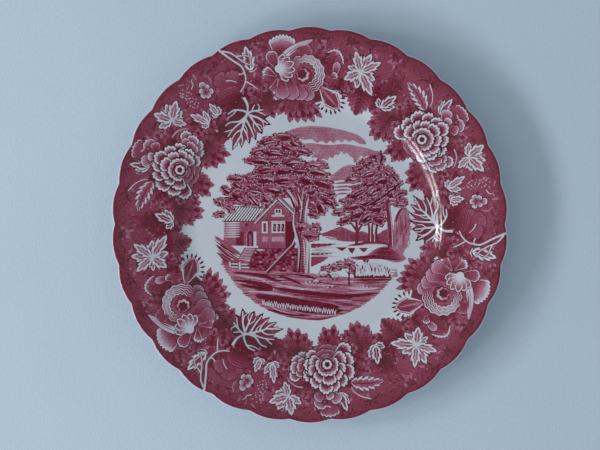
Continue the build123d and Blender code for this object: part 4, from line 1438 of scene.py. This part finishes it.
def cut(sheet, shapes, creases):
    """Cuts a stack of shapes into triangles, and keeps those inside the sheet's outline.

    Gives the triangles' plan points, their corners, and the ink's tone at each corner.
    """
    points, edges = [], []
    for line in creases:
        points += [Vector(p) for p in line]
        edges += [(k, k + 1) for k in range(len(points) - len(line), len(points) - 1)]
    for outline in (sheet, *(shape[0] for shape in shapes)):
        first = len(points)
        points += [Vector(p) for p in outline]
        last = len(points) - 1
        edges += [(k, k + 1) for k in range(first, last)] + [(last, first)]
    plan, _, corners, *_ = delaunay_2d_cdt(points, edges, [], 0, 1e-4, False)
    plan, corners = np.array([tuple(p) for p in plan]), np.array(corners)
    middle = plan[corners].mean(axis=1)
    kept = inside(middle, sheet)
    corners, middle = corners[kept], middle[kept]
    tones = np.full(corners.shape, -1.0)
    for outline, tone, to, start, end in shapes:
        low, high = outline.min(axis=0), outline.max(axis=0)
        near = np.flatnonzero(((middle > low) & (middle < high)).all(axis=1))
        hit = near[inside(middle[near], outline)]
        if start is None or tone == to:
            tones[hit] = tone
        else:
            run = np.asarray(end, float) - start
            share = np.clip((plan[corners[hit]] - start) @ run / run.dot(run), 0, 1)
            tones[hit] = tone + (to - tone) * share
    inked = tones[:, 0] >= 0
    used, corners = np.unique(corners[inked], return_inverse=True)
    return plan[used], corners.reshape(-1, 3), tones[inked]


def ink_sheet(name, plan, corners, tones, material):
    """A printed sheet that lies on the face."""
    normal = face_normals(plan[:, 0], plan[:, 1])
    z = face_height(plan[:, 0], plan[:, 1])
    vertices = np.column_stack((plan, z)) + normal * INK_LIFT
    obj = new_object(name, vertices, corners.tolist(), material)
    mesh = obj.data
    ink = mesh.attributes.new("ink", "FLOAT", "CORNER")
    ink.data.foreach_set("value", tones.astype(np.float32).ravel())
    mesh.normals_split_custom_set_from_vertices(normal.tolist())
    return obj


def section_shapes(shapes, grounds):
    """The shapes of one border sheet, with its neighbours' where they reach over the seams."""
    angles = np.arange(0, SECTION + 0.01, 0.5)
    reach = outline_radius(np.radians(angles + BORDER_START)) - INK_MARGIN
    outer = [at(a, r) for a, r in zip(angles, reach)]
    inner = [at(a, SHEET_INSIDE) for a in angles[::-3]]
    sheet, stack = np.array(outer + inner), []
    for group in (shapes[:grounds], shapes[grounds:]):
        for turn in (-SECTION, 0.0, SECTION):
            for outline, tone, to, start, end in group:
                points = turned(outline, turn)
                way = np.degrees(np.arctan2(points[:, 1], points[:, 0]))
                if turn and (way.max() < 0 or way.min() > SECTION or way.max() - way.min() > 180):
                    continue
                ends = [None if p is None else turned(p, turn) for p in (start, end)]
                stack.append((points, tone, to, *ends))
    return sheet, stack, angles


def border_sheets(shapes, grounds, material):
    """The three border sheets: one is cut, and the others are the same one turned."""
    sheet, stack, angles = section_shapes(shapes, grounds)
    coarse = angles[::3]
    radii = [*np.arange(64.0, 72.0, 4.0), *np.arange(72.0, 92.0, 1.25), *np.arange(93.0, 124.0, 3.0)]
    creases = [[at(a, r) for a in coarse] for r in radii]
    for inset in (1.2, 1.7, 2.3):
        reach = outline_radius(np.radians(angles + BORDER_START)) - inset
        creases.append([at(a, r) for a, r in zip(angles, reach)])
    plan, corners, tones = cut(sheet, stack, creases)
    for k in range(SECTIONS):
        placed = turned(plan, BORDER_START + k * 360 / SECTIONS)
        obj = ink_sheet(f"border_ink_{k + 1}", placed, corners, tones, material)
        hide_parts(f"border_print_{k + 1}")


def centre_sheet(shapes, material):
    """The round picture in the well."""
    plan, corners, tones = cut(CENTRE_SHEET * circle(240), shapes, [])
    obj = ink_sheet("centre_ink", plan, corners, tones, material)
    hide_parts("centre_print")


def glaze_rows(outline, angle):
    """Rings of the glazed surface from the middle of the well, round the edge, to under the well."""
    centre_r, centre_z, slope = edge_round(outline)
    contact = centre_r - EDGE_ROUND * np.sin(slope)
    rows = []

    def face(radius):
        rows.append((radius, face_profile(radius) + flute(angle, radius)))

    flat = np.ones_like(angle)
    for radius in (3, 12, 24, 36, 48, 58, 66, 70, 72):
        face(radius * flat)
    for radius in (*np.arange(73.2, 92.5, 1.2), *np.arange(95.0, 116.0, 3.0)):
        face(radius * flat)
    for share in (0.0, 0.35, 0.7, 1.0):
        face(117.0 + (contact - 117.0) * share)
    lift = flute(angle, centre_r)
    turns = np.linspace(-slope, pi / 2 + 0 * slope, 7)[1:]
    for t in turns:
        rows.append((centre_r + EDGE_ROUND * np.sin(t), centre_z + EDGE_ROUND * np.cos(t) + lift))
    # the under side, from the edge's lower rounding back to the foot
    low_slope = np.arcsin((outline - UNDER[0]) / UNDER_RADIUS)
    arm = UNDER_RADIUS - EDGE_ROUND
    low_z = UNDER[1] - np.sqrt(arm**2 - (centre_r - UNDER[0]) ** 2)
    for share in np.linspace(0, 1, 7):
        t = (pi / 2) * (1 - share) + low_slope * share
        rows.append((centre_r + EDGE_ROUND * np.sin(t), low_z - EDGE_ROUND * np.cos(t)))
    last = rows[-1][0]
    root = SHOULDER[0] - (SHOULDER_RADIUS - WALL) * sin(RIM_SLOPE)
    for share in (0.06, 0.2, 0.4, 0.6, 0.8, 1.0):
        r = last + (root - last) * share
        rows.append((r, UNDER[1] - np.sqrt(UNDER_RADIUS**2 - (r - UNDER[0]) ** 2)))
    small = SHOULDER_RADIUS - WALL
    for t in np.linspace(RIM_SLOPE, COVE_SLOPE, 7)[1:]:
        rows.append(((SHOULDER[0] - small * sin(t)) * flat, (SHOULDER[1] + small * cos(t)) * flat))
    for r, z in foot_profile():
        rows.append((r * flat, z * flat))
    return rows


def foot_profile():
    """Profile points down the outside of the foot, across it where the glaze stops, and inside it."""
    big = COVE_RADIUS + WALL
    top_r = FOOT_OUTSIDE + FOOT_DRAFT
    top_z = COVE[1] - sqrt(big**2 - (top_r - COVE[0]) ** 2)
    points = []
    start = COVE[0] + big * sin(COVE_SLOPE)
    for share in np.linspace(0, 1, 7)[1:]:
        r = start + (top_r + 1.5 - start) * share
        points.append((r, COVE[1] - sqrt(big**2 - (r - COVE[0]) ** 2)))
    points += round_corner(points[-1], (top_r, top_z), (FOOT_OUTSIDE, 0), 1.8)
    slope_out = FOOT_DRAFT / top_z
    points.append((FOOT_OUTSIDE + slope_out * (BARE_FOOT + 0.25), BARE_FOOT + 0.25))
    points.append((FOOT_OUTSIDE + slope_out * BARE_FOOT - 0.12, BARE_FOOT))
    slope_in = FOOT_DRAFT / FOOT_HEIGHT
    points.append((FOOT_INSIDE - slope_in * BARE_FOOT + 0.12, BARE_FOOT))
    points.append((FOOT_INSIDE - slope_in * (BARE_FOOT + 0.25), BARE_FOOT + 0.25))
    corner = (FOOT_INSIDE - FOOT_DRAFT, FOOT_HEIGHT)
    points += round_corner((FOOT_INSIDE, 0), corner, (0, FOOT_HEIGHT), 1.8)
    points += [(r, FOOT_HEIGHT) for r in (70, 60, 48, 34, 20, 8)]
    return points


def round_corner(before, corner, after, radius):
    """Points of a fillet at a corner between two straight runs."""
    b, c, a = (np.asarray(p, float) for p in (before, corner, after))
    u, v = (b - c) / np.linalg.norm(b - c), (a - c) / np.linalg.norm(a - c)
    half = np.arccos(np.clip(u.dot(v), -1, 1)) / 2
    reach = radius / np.tan(half)
    centre = c + (u + v) / np.linalg.norm(u + v) * radius / sin(half)
    p, q = c + u * reach - centre, c + v * reach - centre
    turn = np.arccos(np.clip(p.dot(q) / radius**2, -1, 1))
    shares = np.linspace(0, 1, 6)
    return [tuple(centre + (sin((1 - s) * turn) * p + sin(s * turn) * q) / sin(turn)) for s in shares]


def glaze_body(material):
    """The glazed surface of the whole plate, closed across the foot where the clay is bare."""
    count = LOBES * 24
    angle = np.arange(count) * 2 * pi / count
    rows = glaze_rows(outline_radius(angle), angle)
    vertices = [(0.0, 0.0, float(face_profile(np.array(0.0))))]
    for r, z in rows:
        vertices += np.column_stack((r * np.cos(angle), r * np.sin(angle), z)).tolist()
    vertices.append((0.0, 0.0, FOOT_HEIGHT))
    faces = [(0, 1 + k, 1 + (k + 1) % count) for k in range(count)]
    for row in range(len(rows) - 1):
        a, b = 1 + row * count, 1 + (row + 1) * count
        faces += [(a + k, b + k, b + (k + 1) % count, a + (k + 1) % count) for k in range(count)]
    last = 1 + (len(rows) - 1) * count
    faces += [(len(vertices) - 1, last + (k + 1) % count, last + k) for k in range(count)]
    glaze = new_object("glazed_china", vertices, faces, material)
    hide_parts("face_glaze", "back_glaze")
    return glaze


def back_mark(material):
    """A plain ring and a sprig of leaves under the well, with no lettering."""
    art = Art(MARK_SEED)
    for radius, tone in ((MARK_RADIUS, DARK), (10.2, BARE)):
        art.fill(radius * circle(90), tone)
    for k in range(6):
        way = np.array((cos(k * pi / 3), sin(k * pi / 3)))
        f = Frame(way * 1.0, way * 8.5)
        art.fill(f.put([(3.75 * (1 - cos(t)), 1.3 * sin(t)) for t in np.linspace(0, 2 * pi, 28)[:-1]]),
                 DEEP)
        art.swell((way * 1.4, way * 8.0), 0.35, PALE)
    plan, corners, tones = cut(11.2 * circle(90), art.shapes, [])
    vertices = np.column_stack((plan, np.full(len(plan), FOOT_HEIGHT - INK_LIFT)))
    mark = new_object("mark_ink", vertices, corners[:, ::-1].tolist(), material)
    ink = mark.data.attributes.new("ink", "FLOAT", "CORNER")
    ink.data.foreach_set("value", tones[:, ::-1].astype(np.float32).ravel())
    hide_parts("back_mark")


# ---- Materials ----

CHINA = (0.645, 0.675, 0.715)       # the white ware under its faintly blue glaze
CLAY = (0.62, 0.56, 0.47)
FLOOR = (0.60, 0.715, 0.80)
# Share of the china's own colour that each tone of ink lets back, red, green and blue
INK_RAMP = (
    (0.00, (1.000, 1.000, 1.000)),
    (0.14, (0.850, 0.580, 0.660)),
    (0.30, (0.680, 0.245, 0.340)),
    (0.50, (0.490, 0.070, 0.142)),
    (0.68, (0.350, 0.026, 0.068)),
    (0.84, (0.225, 0.009, 0.030)),
    (1.00, (0.115, 0.005, 0.018)),
)


class Nodes:
    """A material's node tree, built from inputs to output."""

    def __init__(self, name):
        self.material = bpy.data.materials.new(name)
        self.material.use_nodes = True
        self.tree = self.material.node_tree
        self.shader = self.tree.nodes["Principled BSDF"]
        place = self.tree.nodes.new("ShaderNodeTexCoord")
        self.place = place.outputs["Object"]

    def add(self, kind, **settings):
        node = self.tree.nodes.new(kind)
        for key, value in settings.items():
            setattr(node, key, value)
        return node

    def link(self, out, to):
        self.tree.links.new(out, to)

    def noise(self, scale, detail=3.0, stretch=None):
        node = self.add("ShaderNodeTexNoise")
        node.inputs["Scale"].default_value = scale
        node.inputs["Detail"].default_value = detail
        place = self.place
        if stretch:
            mapping = self.add("ShaderNodeMapping")
            mapping.inputs["Scale"].default_value = stretch
            self.link(place, mapping.inputs["Vector"])
            place = mapping.outputs["Vector"]
        self.link(place, node.inputs["Vector"])
        return node.outputs["Fac"]

    def cells(self, scale):
        node = self.add("ShaderNodeTexVoronoi")
        node.inputs["Scale"].default_value = scale
        self.link(self.place, node.inputs["Vector"])
        return node.outputs["Distance"]

    def away(self, point):
        """Distance in metres from a point."""
        node = self.add("ShaderNodeVectorMath", operation="DISTANCE")
        node.inputs[1].default_value = point
        self.link(self.place, node.inputs[0])
        return node.outputs["Value"]

    def ranged(self, value, low, high, to_low=0.0, to_high=1.0):
        """A value between low and high, mapped and clamped to another range."""
        node = self.add("ShaderNodeMapRange")
        for key, number in zip(("From Min", "From Max", "To Min", "To Max"), (low, high, to_low, to_high)):
            node.inputs[key].default_value = number
        self.link(value, node.inputs["Value"])
        return node.outputs["Result"]

    def math(self, operation, a, b):
        node = self.add("ShaderNodeMath", operation=operation)
        for socket, value in zip(node.inputs, (a, b)):
            if isinstance(value, (int, float)):
                socket.default_value = value
            else:
                self.link(value, socket)
        return node.outputs["Value"]

    def mix(self, share, a, b, blend="MIX"):
        node = self.add("ShaderNodeMix", data_type="RGBA", blend_type=blend)
        if isinstance(share, (int, float)):
            node.inputs["Factor"].default_value = share
        else:
            self.link(share, node.inputs["Factor"])
        for index, value in ((6, a), (7, b)):
            if isinstance(value, tuple):
                node.inputs[index].default_value = (*value, 1.0)
            else:
                self.link(value, node.inputs[index])
        return node.outputs[2]

    def ramp(self, value, stops):
        node = self.add("ShaderNodeValToRGB")
        elements = node.color_ramp.elements
        while len(elements) < len(stops):
            elements.new(0.5)
        for element, (position, colour) in zip(elements, stops):
            element.position = position
            element.color = (*colour, 1.0)
        self.link(value, node.inputs["Fac"])
        return node.outputs["Color"]

    def bump(self, height, distance, strength=1.0, after=None):
        node = self.add("ShaderNodeBump")
        node.inputs["Distance"].default_value = distance
        node.inputs["Strength"].default_value = strength
        self.link(height, node.inputs["Height"])
        if after:
            self.link(after, node.inputs["Normal"])
        return node.outputs["Normal"]


def scaled(colour, by):
    """A colour made lighter or darker."""
    return tuple(c * by for c in colour)


def china_colour(n):
    """Off-white ware: cloudy glaze, a few pale smudges and scattered iron specks."""
    cloud = n.ranged(n.noise(16.0, 4.0), 0.35, 0.65)
    colour = n.mix(cloud, scaled(CHINA, 0.955), scaled(CHINA, 1.02))
    fine = n.ranged(n.noise(420.0, 3.0), 0.4, 0.62)
    colour = n.mix(n.math("MULTIPLY", fine, 0.35), colour, (0.655, 0.685, 0.715))
    speck = n.ranged(n.cells(150.0), 0.018, 0.035, 1.0, 0.0)
    where = n.ranged(n.noise(60.0, 2.0), 0.60, 0.66)
    return n.mix(n.math("MULTIPLY", n.math("MULTIPLY", speck, where), 0.7), colour, (0.34, 0.27, 0.20))


def stilt_scars(n):
    """The three rough specks under the rim, where the plate stood on stilts in the kiln."""
    scars = None
    radius = STILT_MARK_RADIUS
    height = UNDER[1] - sqrt(UNDER_RADIUS**2 - (radius - UNDER[0]) ** 2)
    for k in range(STILT_MARKS):
        turn = radians(30 + 360 * k / STILT_MARKS)
        spot = (radius * MM * cos(turn), radius * MM * sin(turn), height * MM)
        scar = n.ranged(n.away(spot), 0.7 * STILT_MARK_SIZE * MM, 1.3 * STILT_MARK_SIZE * MM, 1.0, 0.0)
        scars = n.math("MAXIMUM", scars, scar) if scars else scar
    return scars


def gloss(n, scars=None):
    """The clear glaze over the ware: smooth, with a slow ripple and fine pitting."""
    shader = n.shader
    shader.inputs["IOR"].default_value = 1.5
    wear = n.ranged(n.noise(90.0, 4.0), 0.4, 0.7, 0.12, 0.22)
    if scars:
        wear = n.math("MAXIMUM", wear, n.math("MULTIPLY", scars, 0.8))
    n.link(wear, shader.inputs["Roughness"])
    slow = n.bump(n.noise(85.0, 2.0), 0.0006, 0.5)
    fine = n.bump(n.noise(900.0, 2.0), 0.00002, 0.5, after=slow)
    if scars:
        fine = n.bump(n.math("MULTIPLY", scars, n.noise(2600.0, 2.0)), 0.0004, 1.0, after=fine)
    n.link(fine, shader.inputs["Normal"])


def china():
    """Glazed ware, with the stilt scars underneath."""
    n = Nodes("glazed_china")
    scars = stilt_scars(n)
    n.link(n.mix(scars, china_colour(n), (0.42, 0.36, 0.29)), n.shader.inputs["Base Color"])
    gloss(n, scars)
    return n.material


def printed(name):
    """Ink under the glaze: its tone is drawn by the mesh, and broken up by fine stipple and streaks."""
    n = Nodes(name)
    tone = n.add("ShaderNodeAttribute", attribute_name="ink").outputs["Fac"]
    stipple = n.ranged(n.cells(2300.0), 0.15, 0.75, 1.0, -1.0)
    grain = n.ranged(n.noise(1500.0, 2.0), 0.3, 0.7, -1.0, 1.0)
    streak = n.ranged(n.noise(140.0, 4.0), 0.3, 0.7, -1.0, 1.0)
    # the broken pattern is strongest in the middle tones, and bare china has none
    room = n.math("MULTIPLY", tone, n.math("SUBTRACT", 1.25, tone))
    break_up = n.math("ADD", n.math("MULTIPLY", stipple, 0.34), n.math("MULTIPLY", grain, 0.22))
    break_up = n.math("ADD", break_up, n.math("MULTIPLY", streak, 0.16))
    shifted = n.math("ADD", tone, n.math("MULTIPLY", room, break_up))
    stain = n.ramp(shifted, INK_RAMP)
    n.link(n.mix(1.0, china_colour(n), stain, "MULTIPLY"), n.shader.inputs["Base Color"])
    gloss(n)
    return n.material


def bare_clay():
    """Unglazed clay: grainy, with a little grime."""
    n = Nodes("bare_clay")
    grain = n.ranged(n.noise(700.0, 4.0), 0.35, 0.65)
    colour = n.mix(grain, scaled(CLAY, 0.86), scaled(CLAY, 1.1))
    grime = n.ranged(n.noise(60.0, 4.0), 0.5, 0.7)
    colour = n.mix(n.math("MULTIPLY", grime, 0.5), colour, (0.36, 0.31, 0.25))
    n.link(colour, n.shader.inputs["Base Color"])
    n.link(n.ranged(grain, 0, 1, 0.75, 0.95), n.shader.inputs["Roughness"])
    n.link(n.bump(n.noise(1600.0, 3.0), 0.00012, 0.8), n.shader.inputs["Normal"])
    return n.material


def floor_material():
    """Pale cloth-like paper."""
    n = Nodes("floor")
    weave = n.ranged(n.noise(900.0, 3.0, stretch=(1.0, 0.45, 1.0)), 0.3, 0.7)
    cloud = n.ranged(n.noise(5.0, 3.0), 0.35, 0.65)
    colour = n.mix(cloud, scaled(FLOOR, 0.97), scaled(FLOOR, 1.02))
    colour = n.mix(n.math("MULTIPLY", weave, 0.5), colour, scaled(FLOOR, 0.93))
    n.link(colour, n.shader.inputs["Base Color"])
    n.shader.inputs["Roughness"].default_value = 0.9
    n.link(n.bump(weave, 0.0002, 0.4), n.shader.inputs["Normal"])
    return n.material


# ---- Stage, light and camera, in metres ----

FLOOR_REACH = 6
PANES = 3                # window panes that show in the glaze
PANE_STEP = 18.0         # degrees from one pane to the next
WORLD_STRENGTH = 0.455
CAMERA_HEIGHT = 1.35     # over the rim
VIEW_WIDTH = 0.383       # of the view at the rim's height
SENSOR = 36.0            # millimetres, for the lens as well

def floor():
    """A plain pale floor, far larger than the view."""
    mesh = bpy.data.meshes.new("floor")
    r = FLOOR_REACH
    mesh.from_pydata([(-r, -r, 0), (r, -r, 0), (r, r, 0), (-r, r, 0)], [], [(0, 1, 2, 3)])
    mesh.materials.append(floor_material())
    obj = bpy.data.objects.new("floor", mesh)
    bpy.context.scene.collection.objects.link(obj)


def softbox(name, azimuth, elevation, distance, size, power, colour):
    """A square light aimed at the plate, from angles in degrees and lengths in metres."""
    light = bpy.data.lights.new(name, "AREA")
    light.shape = "RECTANGLE"
    light.size, light.size_y = size
    light.energy = power
    light.color = colour
    obj = bpy.data.objects.new(name, light)
    a, e = radians(azimuth), radians(elevation)
    obj.location = distance * Vector((cos(e) * cos(a), cos(e) * sin(a), sin(e)))
    obj.rotation_euler = (-obj.location).to_track_quat("-Z", "Y").to_euler()
    bpy.context.scene.collection.objects.link(obj)


def lights():
    """Window light from the left in three panes, a warm fill, and a pale room."""
    for k in range(PANES):
        softbox(f"pane_{k + 1}", 178 + PANE_STEP * k, 33, 1.9, (0.34, 0.32), 6.0, (0.94, 0.96, 1.0))
    softbox("glow", 172, 56, 2.3, (2.2, 2.2), 1.5, (1.0, 0.96, 0.91))
    world = bpy.data.worlds.new("studio")
    world.use_nodes = True
    tree = world.node_tree
    background = tree.nodes["Background"]
    background.inputs["Strength"].default_value = WORLD_STRENGTH
    # dim straight above, as under a black flag, so that the glaze doesn't veil the ink
    directions = tree.nodes.new("ShaderNodeTexCoord")
    split = tree.nodes.new("ShaderNodeSeparateXYZ")
    dome = tree.nodes.new("ShaderNodeValToRGB")
    stops = ((0.0, 0.80), (0.87, 1.15), (0.955, 0.36))
    elements = dome.color_ramp.elements
    elements.new(0.5)
    for element, (position, level) in zip(elements, stops):
        element.position = position
        element.color = (0.85 * level, 0.95 * level, 1.05 * level, 1.0)
    tree.links.new(directions.outputs["Generated"], split.inputs["Vector"])
    tree.links.new(split.outputs["Z"], dome.inputs["Fac"])
    tree.links.new(dome.outputs["Color"], background.inputs["Color"])
    bpy.context.scene.world = world
    bpy.context.scene.view_settings.view_transform = "Standard"


def camera():
    """Straight above the plate, with the plate a little right of the middle of the view."""
    data = bpy.data.cameras.new("camera")
    obj = bpy.data.objects.new("camera", data)
    rim = CAD_BOX[1][2]
    data.sensor_width = SENSOR
    data.lens = SENSOR * CAMERA_HEIGHT / VIEW_WIDTH
    obj.location = (-0.0062, -0.0002, rim + CAMERA_HEIGHT)
    bpy.context.scene.collection.objects.link(obj)
    bpy.context.scene.camera = obj


def main():
    floor()
    lights()
    camera()
    glaze_body(china())
    ink = printed("printed_ink")
    border_sheets(border().shapes, 1, ink)
    centre_sheet(landscape().shapes, ink)
    back_mark(ink)
    clay = bare_clay()
    body = frame["nodes"]["body"]
    for slot in body.material_slots:
        slot.material = clay


main()
